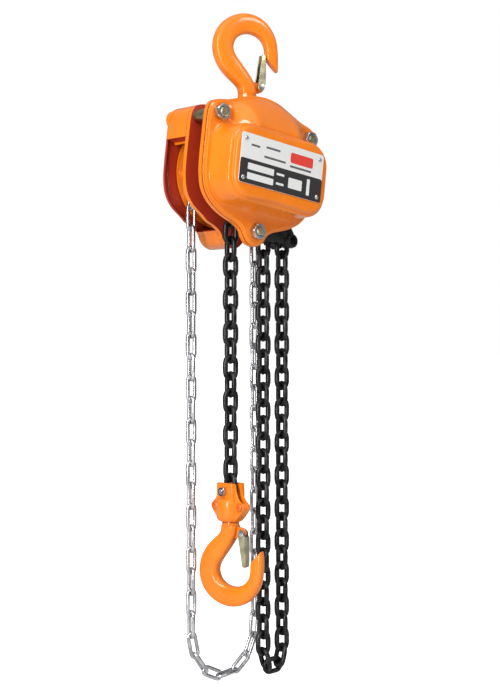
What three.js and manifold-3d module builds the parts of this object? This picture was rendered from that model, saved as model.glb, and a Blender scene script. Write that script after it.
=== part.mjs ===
// A one-ton hand chain hoist. Millimetres, +Z up, +X right, gear cover towards -Y.
// The row's origin is the seat inside the top hook, which holds the whole hoist up.
import * as THREE from 'three';
import { mergeVertices } from 'three/addons/utils/BufferGeometryUtils.js';
import Module from 'manifold-3d';

// Clearances: between pieces that touch, and round pins and shafts.
const GAP = 0.3;
const BORE_CLEARANCE = 0.2;

// Frame: two side plates, measured from the load sheave's axis.
const BODY_ROLL_DEG = 7;
const PLATE_GAP = 27;
const PLATE_THICKNESS = 5;
const PLATE_INNER = PLATE_GAP / 2;
const PLATE_OUTER = PLATE_INNER + PLATE_THICKNESS;
const BODY_HALF_WIDTH = 80;
const BODY_TOP = 79;
const LOAD_FALL_X = 23.75;
const HAND_FALL_X = LOAD_FALL_X + 22.65;
const WHEEL_RADIUS = HAND_FALL_X + 11.6;
const LOBE_BOTTOM = -WHEEL_RADIUS - 24;
const WHEEL_SIDE_HALF_WIDTH = BODY_HALF_WIDTH - 5.6;

// Gear cover and its bulge.
const FLANGE_THICKNESS = 4;
const FLANGE_BACK = -PLATE_OUTER - GAP;
const FLANGE_FRONT = FLANGE_BACK - FLANGE_THICKNESS;
const BULGE_MARGIN = 9;
const BULGE_HALF_WIDTH = BODY_HALF_WIDTH - BULGE_MARGIN;
const BULGE_BOTTOM = -44;
const BULGE_TOP = 38;
const BULGE_DEPTH = 33.2;
const BULGE_FACE = FLANGE_FRONT - BULGE_DEPTH;
const BULGE_CORNER = 22;
const COVER_WALL = 3;

// Wheel cover.
const WHEEL_SPACE = 35.9;
const WHEEL_COVER_FACE = PLATE_OUTER + WHEEL_SPACE;
const WHEEL_COVER_WALL = 2.2;
const SIDE_OPENING_BOTTOM = -66;
const SIDE_OPENING_TOP = 25;
const LIP_WIDTH = 11.6;

// Stay bolts, in the body's own axes.
const STAY_INSET = 15;
const STAY_HEIGHT = 47.5;
const STAYS = [
  { name: 'left', x: STAY_INSET - BODY_HALF_WIDTH, z: STAY_HEIGHT, r: 5, shoulder: 7, sunk: 5 },
  { name: 'right', x: BODY_HALF_WIDTH - STAY_INSET, z: STAY_HEIGHT, r: 5, shoulder: 7, sunk: 5 },
  { name: 'bottom', x: 0, z: LOBE_BOTTOM + 16, r: 4.5, shoulder: 4.5, sunk: 0 },
];
const STAY_NUT_ACROSS = 16;
const NUT_RECESS_R = STAY_NUT_ACROSS * 0.61;

// Gears: the disc gears' tips stay clear of the bulge's wall.
const DRIVE_TEETH = 8;
const DISC_TEETH = 32;
const PINION_TEETH = 8;
const LOAD_TEETH = 28;
const TOOTH_TIP = 0.72;
const TOOTH_ROOT = 0.95;
const GEAR_ROOM = 9.25;
const DISC_TIP_REACH = (DISC_TEETH + 2 * TOOTH_TIP) / (DRIVE_TEETH + DISC_TEETH);
const GEAR_CENTRES = (BULGE_HALF_WIDTH - COVER_WALL - GEAR_ROOM) / (1 + DISC_TIP_REACH);
const LOAD_GEAR_Y = -PLATE_OUTER - 3.5;
const GEAR_WIDTH = 8;
const DISC_GEAR_Y = LOAD_GEAR_Y - GEAR_WIDTH - 4;
const SHAFT_END_Y = BULGE_FACE + 6;
const SHAFT_R = 6;
const JOURNAL_R = 4;
const SHEAVE_HUB_R = 12.9;
const BEARING_R = 20.8;

// Load brake and hand wheel, outward from the wheel-side plate.
const BRAKE_Y = PLATE_OUTER + 0.4;
const WHEEL_Y = BRAKE_Y + 7.9;
const WHEEL_WIDTH = 22.4;
const HAND_PLANE_Y = WHEEL_Y + WHEEL_WIDTH / 2;
const WHEEL_GROOVE_R = HAND_FALL_X - 5.4;

// Chains: two pitches of load chain pass for each quarter turn of the sheave.
const LOAD_PITCH = 18;
const LIFT = 2 * LOAD_PITCH;
const LOAD_BAR = 5;
const LINK_WIRE = 6;
const LINK_HALF_WIDTH = 9;
const ANCHOR_X = LOAD_FALL_X + 28.25;
const SLACK_END_X = ANCHOR_X - 0.5;
const HAND_BAR = 4;
const CHAIN_PIN_Z = -341;
const SLACK_LOOP_Z = CHAIN_PIN_Z - 175;
const HAND_LOOP_Z = CHAIN_PIN_Z - 159;
const GROOVE_R = LOAD_FALL_X - 5.75;
const SHEAVE_R = LOAD_FALL_X + 6.25;
const ROLLER_X = LOAD_FALL_X + 20.25;
const ROLLER_Z = -13;
const ROLLER_R = 6.5;

// Suspension, yoke and hooks.
const SHANK_R = 8;
const PIVOT_HEIGHT = 62.5;
const BLOCK_BOTTOM = PIVOT_HEIGHT - 9.5;
const BLOCK_TOP = PIVOT_HEIGHT + 13.5;
const COLLAR_TOP = PIVOT_HEIGHT + 20.8;
const TOP_HOOK_Z = COLLAR_TOP + BORE_CLEARANCE;
const NUT_R = SHANK_R + 3;
const NUT_HEIGHT = 9.6;
const TOP_NUT_TOP = BLOCK_BOTTOM - 0.4;
const YOKE_TOP = CHAIN_PIN_Z + 9;
const YOKE_BOTTOM = CHAIN_PIN_Z - 32;
const YOKE_HALF_X = 9.4;
const YOKE_HALF_Y = 12.6;
const YOKE_BARREL_R = SHANK_R + 7.5;
const YOKE_BOLT_Y = SHANK_R + 11.5;
const YOKE_BOLT_Z = CHAIN_PIN_Z - 16;
const YOKE_EAR_HALF_X = 6;
const YOKE_BOLT_R = 3;
const CHAIN_PIN_R = 3.6;
const NUT_POCKET_R = NUT_R + 1;
const NUT_POCKET_TOP = CHAIN_PIN_Z - 11;
const NUT_POCKET_BOTTOM = CHAIN_PIN_Z - 25;
const BOTTOM_HOOK_Z = YOKE_BOTTOM - 3.7;
const HOOK_STRETCH = 1.1;
const TOP_HOOK_YAW_DEG = -18;
const BOTTOM_HOOK_YAW_DEG = -70;
const BOTTOM_BOWL_SHIFT = 3.4;
const BOWL = [1.9, 48.7];
const BOWL_R = 17;
const LATCH_PIVOT = [SHANK_R + 7.4, 8.8];
const LATCH_TIP = [18.4, 44.4];
const LATCH_PIN_R = 2;
const LUG_HALF = 2;
const CHEEK_INNER = 4.4;
const CHEEK_OUTER = 5.8;
const SEAT_CLEARANCE = 0.2;
const SEAT_HEIGHT = TOP_HOOK_Z + BOWL[1] + BOWL_R - SEAT_CLEARANCE;

const paint = new THREE.MeshStandardMaterial({ color: 0xee7d23, roughness: 0.35 });
const zinc = new THREE.MeshStandardMaterial({ color: 0xb9bcc0, metalness: 0.9, roughness: 0.4 });
const yellowZinc = new THREE.MeshStandardMaterial({ color: 0xb9a86a, metalness: 0.8, roughness: 0.4 });
const blackSteel = new THREE.MeshStandardMaterial({ color: 0x222326, metalness: 0.7, roughness: 0.5 });
const steel = new THREE.MeshStandardMaterial({ color: 0x8f9398, metalness: 0.9, roughness: 0.45 });
const lining = new THREE.MeshStandardMaterial({ color: 0x5b5148, roughness: 0.9 });
const labelPlate = new THREE.MeshStandardMaterial({ color: 0xe9e9e6, metalness: 0.3, roughness: 0.5 });

const wasm = await Module();
wasm.setup();

const hoist = new THREE.Group();
hoist.position.z = -SEAT_HEIGHT;
const body = new THREE.Group();
body.rotation.y = THREE.MathUtils.degToRad(BODY_ROLL_DEG);
hoist.add(body);

// Turns a closed three.js geometry into a solid that can be cut and joined.
function toSolid(geometry) {
  const plain = new THREE.BufferGeometry();
  plain.setAttribute('position', geometry.getAttribute('position').clone());
  if (geometry.index) plain.setIndex(geometry.index.clone());
  const welded = mergeVertices(plain, 1e-4);
  const points = welded.getAttribute('position').array;
  const source = welded.index.array;
  const index = [];
  let volume = 0;
  for (let i = 0; i < source.length; i += 3) {
    const [a, b, c] = [source[i], source[i + 1], source[i + 2]];
    if (a === b || b === c || c === a) continue;
    index.push(a, b, c);
    const p = new THREE.Vector3().fromArray(points, a * 3);
    const q = new THREE.Vector3().fromArray(points, b * 3);
    const r = new THREE.Vector3().fromArray(points, c * 3);
    volume += p.dot(q.cross(r));
  }
  if (volume < 0) {
    for (let i = 0; i < index.length; i += 3) {
      [index[i + 1], index[i + 2]] = [index[i + 2], index[i + 1]];
    }
  }
  const vertProperties = new Float32Array(points);
  return new wasm.Manifold(new wasm.Mesh({ numProp: 3, vertProperties, triVerts: new Uint32Array(index) }));
}

function addPart(name, solid, material, parent) {
  const data = solid.getMesh();
  const geometry = new THREE.BufferGeometry();
  geometry.setAttribute('position', new THREE.BufferAttribute(new Float32Array(data.vertProperties), 3));
  geometry.setIndex(new THREE.BufferAttribute(new Uint32Array(data.triVerts), 1));
  geometry.computeVertexNormals();
  const mesh = new THREE.Mesh(geometry, material);
  mesh.name = name;
  parent.add(mesh);
  return mesh;
}

function box(x0, x1, y0, y1, z0, z1) {
  const geometry = new THREE.BoxGeometry(x1 - x0, y1 - y0, z1 - z0);
  geometry.translate((x0 + x1) / 2, (y0 + y1) / 2, (z0 + z1) / 2);
  return toSolid(geometry);
}

// A cylinder along Y, from y0 to y1, about the point (x, z).
function rodY(radius, y0, y1, x = 0, z = 0, sides = 12) {
  const geometry = new THREE.CylinderGeometry(radius, radius, y1 - y0, sides);
  geometry.translate(x, (y0 + y1) / 2, z);
  return toSolid(geometry);
}

function rodZ(radius, z0, z1, x = 0, y = 0, sides = 16) {
  const geometry = new THREE.CylinderGeometry(radius, radius, z1 - z0, sides);
  geometry.rotateX(Math.PI / 2);
  geometry.translate(x, y, (z0 + z1) / 2);
  return toSolid(geometry);
}

function rodX(radius, x0, x1, y = 0, z = 0, sides = 12) {
  const geometry = new THREE.CylinderGeometry(radius, radius, x1 - x0, sides);
  geometry.rotateZ(Math.PI / 2);
  geometry.translate((x0 + x1) / 2, y, z);
  return toSolid(geometry);
}

// A flat plate whose outline lies in the XZ plane, from y0 to y1.
function plateY(points, y0, y1) {
  const shape = new THREE.Shape(points.map(([x, z]) => new THREE.Vector2(x, z)));
  const geometry = new THREE.ExtrudeGeometry(shape, { depth: y1 - y0, bevelEnabled: false });
  geometry.rotateX(Math.PI / 2);
  geometry.translate(0, y1, 0);
  return toSolid(geometry);
}

// A closed profile of [radius, y] points turned about the Y axis through (x, z).
function turned(profile, sides = 24, x = 0, z = 0) {
  const loop = [...profile, profile[0]];
  const geometry = new THREE.LatheGeometry(loop.map(([r, y]) => new THREE.Vector2(r, y)), sides);
  geometry.translate(x, 0, z);
  return toSolid(geometry);
}

// A closed solid through rings that all have the same number of points.
function loft(rings) {
  const count = rings[0].length;
  const positions = rings.flat(2);
  const index = [];
  for (let ring = 0; ring < rings.length - 1; ring += 1) {
    for (let i = 0; i < count; i += 1) {
      const a = ring * count + i;
      const b = ring * count + (i + 1) % count;
      index.push(a, b, a + count, b, b + count, a + count);
    }
  }
  const last = (rings.length - 1) * count;
  for (let i = 1; i < count - 1; i += 1) {
    index.push(0, i + 1, i);
    index.push(last, last + i, last + i + 1);
  }
  const geometry = new THREE.BufferGeometry();
  geometry.setAttribute('position', new THREE.Float32BufferAttribute(positions, 3));
  geometry.setIndex(index);
  return toSolid(geometry);
}

// A rounded rectangle in the plane y, for lofting.
function roundedRing(x0, x1, z0, z1, radius, y) {
  const ring = [];
  const corners = [[x1, z1, 0], [x0, z1, 90], [x0, z0, 180], [x1, z0, 270]];
  for (const [x, z, start] of corners) {
    const cx = x - Math.sign(x - (x0 + x1) / 2) * radius;
    const cz = z - Math.sign(z - (z0 + z1) / 2) * radius;
    for (let step = 0; step <= 4; step += 1) {
      const angle = THREE.MathUtils.degToRad(start + step * 22.5);
      ring.push([cx + radius * Math.cos(angle), y, cz + radius * Math.sin(angle)]);
    }
  }
  return ring;
}

// The hoist body's outline, seen from the gear side: its flanks follow the half width.
function bodyOutline(halfWidth = BODY_HALF_WIDTH, wall = 0) {
  const w = halfWidth - wall;
  const top = BODY_TOP - wall;
  const lobe = LOBE_BOTTOM + wall;
  const half = [
    [0, lobe], [8 - wall / 2, lobe + 2], [14 - wall, lobe + 7.5], [18 - wall, lobe + 14],
    [26, lobe + 19.2], [38, lobe + 23.2], [w - 29, lobe + 28], [w - 15, lobe + 36.5],
    [w - 5.5, lobe + 48], [w - 1, lobe + 64], [w, 0], [w - 0.2, 25], [w - 1, top - 31.5],
    [w - 5, top - 21.5], [w - 14, top - 17], [w - 26, top - 14.5], [36, top - 8], [18, top - 2], [0, top],
  ];
  const curve = new THREE.SplineCurve(half.map(([x, z]) => new THREE.Vector2(x, z)));
  const right = curve.getPoints(20).map((p) => [p.x, p.y]);
  const left = right.slice(1, -1).reverse().map(([x, z]) => [-x, z]);
  return [...right, ...left];
}

// A point of the hanging hoist, given in the rolled body's own axes.
function inBody([x, z]) {
  const roll = THREE.MathUtils.degToRad(BODY_ROLL_DEG);
  return [x * Math.cos(roll) - z * Math.sin(roll), x * Math.sin(roll) + z * Math.cos(roll)];
}

// A spur gear with straight-flanked stub teeth; a tooth stands at `phase` degrees.
function gear(teeth, module, y0, y1, phase) {
  const pitch = teeth * module / 2;
  const tip = pitch + TOOTH_TIP * module;
  const root = pitch - TOOTH_ROOT * module;
  const points = [];
  const step = 2 * Math.PI / teeth;
  for (let tooth = 0; tooth < teeth; tooth += 1) {
    const centre = tooth * step + THREE.MathUtils.degToRad(phase);
    const half = [[root, -0.28], [tip, -0.12], [tip, 0.12], [root, 0.28]];
    for (const [radius, share] of half) {
      const angle = centre + share * step;
      points.push([radius * Math.cos(angle), radius * Math.sin(angle)]);
    }
  }
  return plateY(points, y0, y1);
}

function hexNut(across, y0, y1, x, z) {
  return rodY(across / Math.sqrt(3), y0, y1, x, z, 6);
}

// Suspension: the block hangs on the top hook's shank and carries the body on two trunnions.
const BLOCK_HALF = SHANK_R + 5;
const BLOCK_DEPTH = PLATE_INNER - 1;
const TRUNNION_R = 7;
const block = box(-BLOCK_HALF, BLOCK_HALF, -BLOCK_DEPTH, BLOCK_DEPTH, BLOCK_BOTTOM, BLOCK_TOP)
  .add(rodZ(SHANK_R + 2, BLOCK_TOP - 0.5, COLLAR_TOP))
  .add(rodY(TRUNNION_R, -PLATE_OUTER + GAP, PLATE_OUTER - GAP, 0, PIVOT_HEIGHT))
  .subtract(rodZ(SHANK_R + 2 * BORE_CLEARANCE, BLOCK_BOTTOM - 3, COLLAR_TOP + 7));
addPart('suspension_block', block, paint, hoist);

// One forging serves as both hooks: stations of [inner edge, outer edge, thickness].
const NECK = SHANK_R + 1.4;
const hookStations = [
  [[NECK, -0.1], [-NECK, -0.1], 2 * NECK - 0.8], [[NECK, 4], [-NECK, 4], 2 * NECK - 0.8],
  [[7.2, 13.5], [-11, 8.4], 17.6],
  [[-0.8, 25.6], [-17.5, 13.6], 17.2], [[-8.6, 36], [-27.6, 22.4], 17],
  [[-13.4, 42.6], [-34.6, 34], 17],
];
const outerRadii = [[180, 40], [157, 40.6], [135, 41], [112, 40.5], [90, 39.8], [67, 37.5], [45, 34.4],
  [22, 32.2], [0, 31]];
for (const [degrees, outer] of outerRadii) {
  const angle = THREE.MathUtils.degToRad(degrees);
  const direction = [Math.cos(angle), Math.sin(angle)];
  hookStations.push([
    [BOWL[0] + BOWL_R * direction[0], BOWL[1] + BOWL_R * direction[1]],
    [BOWL[0] + outer * direction[0], BOWL[1] + outer * direction[1]],
    12.4 + 4.6 * degrees / 180,
  ]);
}
hookStations.push([[19.6, 44.6], [33.1, 41], 12]);
hookStations.push([[20.4, 42.2], [32.7, 34], 11.6]);
hookStations.push([[21.2, 40.4], [31.6, 27.4], 11]);

// The bowl may sit further out from the shank; the neck leans over to reach it.
function hookForging(shankLength, shift) {
  const rings = hookStations.map(([inner, outer, thickness]) => {
    const ring = [];
    const middle = [(inner[0] + outer[0]) / 2, (inner[1] + outer[1]) / 2];
    const lean = shift * Math.min(Math.max((middle[1] - 4) / 36, 0), 1);
    const centre = middle[0] * HOOK_STRETCH + lean;
    for (let i = 0; i < 12; i += 1) {
      const angle = i * 2 * Math.PI / 12;
      const across = Math.sign(Math.cos(angle)) * Math.abs(Math.cos(angle)) ** 0.8;
      const deep = Math.sign(Math.sin(angle)) * Math.abs(Math.sin(angle)) ** 0.8;
      const u = centre + across * (inner[0] - outer[0]) / 2;
      const v = middle[1] + across * (inner[1] - outer[1]) / 2;
      ring.push([u, deep * thickness / 2, v]);
    }
    return ring;
  });
  const [px, pz] = LATCH_PIVOT;
  const lugOutline = [[3, pz - 8.2], [px - 1.8, pz - 6.4], [px + 2.6, pz - 4], [px + 3.4, pz],
    [px + 1.4, pz + 3], [4, pz + 5.8]];
  const lug = plateY(lugOutline, -LUG_HALF, LUG_HALF);
  return loft(rings)
    .add(rodZ(SHANK_R, -shankLength, 2))
    .add(lug)
    .subtract(rodY(LATCH_PIN_R + BORE_CLEARANCE, -4, 4, px, pz, 16));
}

// The latch is a sheet channel: a web on the outside and a cheek on each side of the lug.
function latchChannel() {
  const [px, pz] = LATCH_PIVOT;
  const [tx, tz] = LATCH_TIP;
  const web = plateY([[px + 2.6, pz + 4], [px + 4.2, pz + 4], [tx + 1.6, tz], [tx, tz]],
    -CHEEK_OUTER, CHEEK_OUTER);
  const cheek = [
    [px - 3.4, pz - 3.4], [px + 2.4, pz - 4.2], [px + 4.2, pz - 2], [px + 4.2, pz + 6],
    [tx + 1.6, tz], [tx - 1.4, tz], [px - 3.6, pz + 5],
  ];
  return web
    .add(plateY(cheek, -CHEEK_OUTER, -CHEEK_INNER))
    .add(plateY(cheek, CHEEK_INNER, CHEEK_OUTER))
    .subtract(rodY(LATCH_PIN_R + BORE_CLEARANCE, -7, 7, px, pz, 16));
}

function latchSpring() {
  const [px, pz] = LATCH_PIVOT;
  return turned([[2.5, 2.4], [3.7, 2.4], [3.7, 4.1], [2.5, 4.1]], 16, px, pz)
    .add(plateY([[px + 0.6, pz + 2.8], [px + 2, pz + 2.6], [px + 2, pz + 14], [px + 0.6, pz + 14]],
      2.6, 3.8));
}

function addHook(prefix, z, yawDeg, flip, shankLength, shift) {
  const yawed = new THREE.Group();
  yawed.rotation.z = THREE.MathUtils.degToRad(yawDeg);
  yawed.position.set(flip ? -LOAD_FALL_X : 0, 0, z);
  const hook = new THREE.Group();
  hook.rotation.x = flip ? Math.PI : 0;
  yawed.add(hook);
  hoist.add(yawed);
  const [px, pz] = LATCH_PIVOT;
  addPart(`${prefix}_hook`, hookForging(shankLength, shift), paint, hook);
  addPart(`${prefix}_latch`, latchChannel(), yellowZinc, hook);
  const pinEnd = CHEEK_OUTER + 0.8;
  addPart(`${prefix}_latch_pin`, rodY(LATCH_PIN_R, -pinEnd, pinEnd, px, pz, 16), zinc, hook);
  addPart(`${prefix}_latch_spring`, latchSpring(), steel, hook);
}

const topNutBottom = TOP_NUT_TOP - NUT_HEIGHT;
addHook('top', TOP_HOOK_Z, TOP_HOOK_YAW_DEG, false, TOP_HOOK_Z - topNutBottom + 2.5, 0);
const topNut = rodZ(NUT_R, topNutBottom, TOP_NUT_TOP, 0, 0, 6)
  .subtract(rodZ(SHANK_R + GAP, topNutBottom - 3, TOP_NUT_TOP + 3));
addPart('top_hook_nut', topNut, steel, hoist);

// Side plates, with holes for everything that passes through them.
const shaftHoles = [-GEAR_CENTRES, GEAR_CENTRES];
const ROLLERS = [{ name: 'left', x: -ROLLER_X, z: ROLLER_Z }, { name: 'right', x: ROLLER_X, z: ROLLER_Z }];
const TENON_R = 3;
const ANCHOR_TENON = [ANCHOR_X - 10, -50];
const STRIPPER_TENON = [0, -39];
const PIN_REACH = PLATE_OUTER - GAP;

function sidePlate(outline, y0, y1) {
  let plate = plateY(outline, y0, y1)
    .subtract(rodY(BEARING_R + 2 * BORE_CLEARANCE, y0 - 1, y1 + 1, 0, 0, 24));
  for (const stay of STAYS) plate = plate.subtract(rodY(stay.r + GAP, y0 - 1, y1 + 1, stay.x, stay.z));
  plate = plate.subtract(rodY(TRUNNION_R + GAP, y0 - 1, y1 + 1, ...inBody([0, PIVOT_HEIGHT])));
  plate = plate.subtract(rodY(TENON_R + GAP, y0 - 1, y1 + 1, ...inBody(ANCHOR_TENON), 16));
  plate = plate.subtract(rodY(TENON_R + GAP, y0 - 1, y1 + 1, ...STRIPPER_TENON, 16));
  for (const roller of ROLLERS) {
    plate = plate.subtract(rodY(TENON_R + GAP / 2, y0 - 1, y1 + 1, roller.x, roller.z, 16));
  }
  return plate;
}

let gearPlate = sidePlate(bodyOutline(), -PLATE_OUTER, -PLATE_INNER);
for (const x of shaftHoles) {
  gearPlate = gearPlate
    .subtract(rodY(JOURNAL_R + BORE_CLEARANCE, -PLATE_OUTER - 1, -PLATE_INNER + 1, x, 0, 20));
}
addPart('side_plate_gear_side', gearPlate, paint, body);

// Two pawl studs stand on the wheel-side plate, opposite each other.
const PAWL_PIVOT = [-39.8, 23];
const PAWL_STUD_R = 3;
let wheelPlate = sidePlate(bodyOutline(WHEEL_SIDE_HALF_WIDTH), PLATE_INNER, PLATE_OUTER);
for (const side of [1, -1]) {
  const [x, z] = [side * PAWL_PIVOT[0], side * PAWL_PIVOT[1]];
  wheelPlate = wheelPlate.add(rodY(PAWL_STUD_R, PLATE_OUTER - 0.5, BRAKE_Y + 7.3, x, z, 20));
}
addPart('side_plate_wheel_side', wheelPlate, paint, body);

// Gear cover: a flange with a hollow bulge and three blind bosses for the shaft ends.
function bulgeRings(inset, yShift) {
  const rows = [
    [FLANGE_BACK + 0.1, -6], [FLANGE_FRONT + 1.8, -5], [FLANGE_FRONT - 3.2, -1.2], [FLANGE_FRONT - 9.2, 0],
    [BULGE_FACE + 6, 0], [BULGE_FACE + 2, 1], [BULGE_FACE, 3.2],
  ];
  return rows.map(([y, shrink]) => {
    const s = shrink + inset;
    const depth = y === BULGE_FACE ? y + yShift : y;
    return roundedRing(-BULGE_HALF_WIDTH + s, BULGE_HALF_WIDTH - s, BULGE_BOTTOM + s, BULGE_TOP - s,
      Math.max(BULGE_CORNER - s, 6), depth);
  });
}

let gearCover = plateY(bodyOutline(), FLANGE_FRONT, FLANGE_BACK).add(loft(bulgeRings(0, 0).slice(1)));
gearCover = gearCover.subtract(loft(bulgeRings(COVER_WALL, COVER_WALL)));
for (const x of [-GEAR_CENTRES, 0, GEAR_CENTRES]) {
  gearCover = gearCover.add(rodY(JOURNAL_R + 4, BULGE_FACE + 2.6, SHAFT_END_Y + 3.5, x, 0, 24));
  gearCover = gearCover
    .subtract(rodY(JOURNAL_R + BORE_CLEARANCE, SHAFT_END_Y - 1, SHAFT_END_Y + 4, x, 0, 20));
}
for (const stay of STAYS) {
  gearCover = gearCover.subtract(rodY(stay.r + GAP, FLANGE_FRONT - 3, FLANGE_BACK + 1, stay.x, stay.z));
}
addPart('gear_cover', gearCover, paint, body);

const NAMEPLATE_LEFT = 9.5 - BULGE_HALF_WIDTH;
const NAMEPLATE_RIGHT = BULGE_HALF_WIDTH - 13.5;
const NAMEPLATE_BOTTOM = -27;
const NAMEPLATE_TOP = 25;
const plateLabel = loft([-1.05, -0.05].map((out) => roundedRing(
  NAMEPLATE_LEFT, NAMEPLATE_RIGHT, NAMEPLATE_BOTTOM, NAMEPLATE_TOP, 3, BULGE_FACE + out)));
addPart('nameplate', plateLabel, labelPlate, body);

// Wheel cover: a face with a wall over the top and round the bottom, open at both sides.
const coverStart = PLATE_OUTER + GAP;
const faceInside = WHEEL_COVER_FACE - WHEEL_COVER_WALL;
let wheelCover = plateY(bodyOutline(WHEEL_SIDE_HALF_WIDTH), coverStart, WHEEL_COVER_FACE)
  .subtract(plateY(bodyOutline(WHEEL_SIDE_HALF_WIDTH, WHEEL_COVER_WALL), PLATE_OUTER, faceInside));
for (const side of [-1, 1]) {
  const reach = [side * 25, side * (BODY_HALF_WIDTH + 10)].sort((a, b) => a - b);
  wheelCover = wheelCover
    .subtract(box(...reach, PLATE_OUTER - 0.5, faceInside, SIDE_OPENING_BOTTOM, SIDE_OPENING_TOP));
  const lipEdge = WHEEL_SIDE_HALF_WIDTH - 0.8;
  const lip = [side * lipEdge, side * (lipEdge - LIP_WIDTH)].sort((a, b) => a - b);
  wheelCover = wheelCover
    .add(box(...lip, coverStart, WHEEL_COVER_FACE - 1, SIDE_OPENING_TOP - 0.2, SIDE_OPENING_TOP + 1.8));
}
for (const stay of STAYS) {
  const seat = WHEEL_COVER_FACE - stay.sunk;
  wheelCover = wheelCover
    .add(rodY(NUT_RECESS_R + 1.6, seat - WHEEL_COVER_WALL, WHEEL_COVER_FACE, stay.x, stay.z))
    .subtract(rodY(NUT_RECESS_R, seat, WHEEL_COVER_FACE + 1, stay.x, stay.z))
    .subtract(rodY(stay.r + GAP, seat - 3, WHEEL_COVER_FACE + 2, stay.x, stay.z));
}
addPart('wheel_cover', wheelCover, paint, body);

// Stay bolts hold the plates and both covers together.
for (const stay of STAYS) {
  const shoulder = PLATE_INNER - GAP;
  const seat = WHEEL_COVER_FACE - stay.sunk;
  const bolt = rodY(stay.r, FLANGE_FRONT - 8.8, seat + 4.9, stay.x, stay.z)
    .add(rodY(stay.shoulder, -shoulder, shoulder, stay.x, stay.z));
  addPart(`stay_bolt_${stay.name}`, bolt, yellowZinc, body);
  const bore = stay.r + 0.05;
  const front = hexNut(STAY_NUT_ACROSS, FLANGE_FRONT - 7, FLANGE_FRONT - 0.1, stay.x, stay.z)
    .subtract(rodY(bore, FLANGE_FRONT - 8, FLANGE_FRONT + 1, stay.x, stay.z));
  addPart(`stay_nut_front_${stay.name}`, front, zinc, body);
  const back = hexNut(STAY_NUT_ACROSS, seat + 0.1, seat + 4.1, stay.x, stay.z)
    .subtract(rodY(bore, seat - 1, seat + 8, stay.x, stay.z));
  addPart(`stay_nut_back_${stay.name}`, back, zinc, body);
}

// Chain stripper and the anchor of the slack end.
const INSIDE = PLATE_INNER - GAP;
const stripper = plateY([[-6, -GROOVE_R - 2], [6, -GROOVE_R - 2], [5, -44], [-5, -44]], -2.4, 2.4)
  .add(box(-4.6, 4.6, -INSIDE, INSIDE, STRIPPER_TENON[1] - 3.5, STRIPPER_TENON[1] + 3.5))
  .add(rodY(TENON_R, -PIN_REACH, PIN_REACH, ...STRIPPER_TENON, 16));
addPart('chain_stripper', stripper, blackSteel, body);

const ANCHOR_PIN = [ANCHOR_X, -71.4];
const ANCHOR_PIN_R = 3.4;
const CHEEK_WALL = 2.4;
const ax = ANCHOR_X;
const cheek = [[ax - 37.5, -46], [ax - 5, -46], [ax + 8, -60], [ax + 8, -76], [ax - 2, -80], [ax - 16, -80],
  [ax - 23, -74], [ax - 37.5, -74]];
const anchor = plateY(cheek, -INSIDE, -INSIDE + CHEEK_WALL)
  .add(plateY(cheek, INSIDE - CHEEK_WALL, INSIDE))
  .add(box(ax - 16, ax - 12.5, -INSIDE, INSIDE, -76, -48))
  .add(rodY(ANCHOR_PIN_R + 4.3, -INSIDE - 0.8, INSIDE + 0.8, ...ANCHOR_PIN)
    .subtract(box(ax - 12, ax + 12, -3.8, 3.8, -82, -60)))
  .add(rodY(TENON_R, -PIN_REACH, -INSIDE + 1, ...ANCHOR_TENON, 16))
  .add(rodY(TENON_R, INSIDE - 1, PIN_REACH, ...ANCHOR_TENON, 16))
  .subtract(rodY(ANCHOR_PIN_R + 0.1, -INSIDE - 3, INSIDE + 3, ...ANCHOR_PIN, 20));
addPart('chain_anchor', anchor, blackSteel, hoist);
addPart('anchor_pin', rodY(ANCHOR_PIN_R, -INSIDE - 1.4, INSIDE + 1.4, ...ANCHOR_PIN, 20), steel, hoist);

for (const { name, x, z } of ROLLERS) {
  const end = PLATE_INNER - 0.7;
  const bore = TENON_R + GAP;
  const roller = turned([[bore, -end], [ROLLER_R, -end], [ROLLER_R, end], [bore, end]], 24, x, z);
  addPart(`guide_roller_${name}`, roller, steel, body);
  addPart(`roller_pin_${name}`, rodY(TENON_R, -PIN_REACH, PIN_REACH, x, z, 16), steel, body);
}

// Load sheave, its bearings and the reduction gears.
const flange = PLATE_INNER - 0.4;
const hubEnd = PLATE_OUTER + 0.1;
const sheaveBore = SHAFT_R + 0.6;
const sheave = turned([
  [sheaveBore, LOAD_GEAR_Y - GEAR_WIDTH - 1], [9, LOAD_GEAR_Y - GEAR_WIDTH - 1], [9, -hubEnd],
  [SHEAVE_HUB_R, -hubEnd], [SHEAVE_HUB_R, -flange], [SHEAVE_R, -flange], [SHEAVE_R, -flange + 1.8],
  [GROOVE_R, -flange + 1.8], [GROOVE_R, flange - 1.8], [SHEAVE_R, flange - 1.8], [SHEAVE_R, flange],
  [SHEAVE_HUB_R, flange], [SHEAVE_HUB_R, PLATE_OUTER - 0.2], [sheaveBore, PLATE_OUTER - 0.2],
]);
addPart('load_sheave', sheave, steel, body);
const bearingStart = PLATE_INNER + 0.4;
const bearingBore = SHEAVE_HUB_R + GAP;
const bearing = [[bearingBore, bearingStart], [BEARING_R, bearingStart], [BEARING_R, PLATE_OUTER - 0.2],
  [bearingBore, PLATE_OUTER - 0.2]];
addPart('sheave_bearing_wheel_side', turned(bearing), steel, body);
addPart('sheave_bearing_gear_side', turned(bearing.map(([r, y]) => [r, -y])), steel, body);

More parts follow.
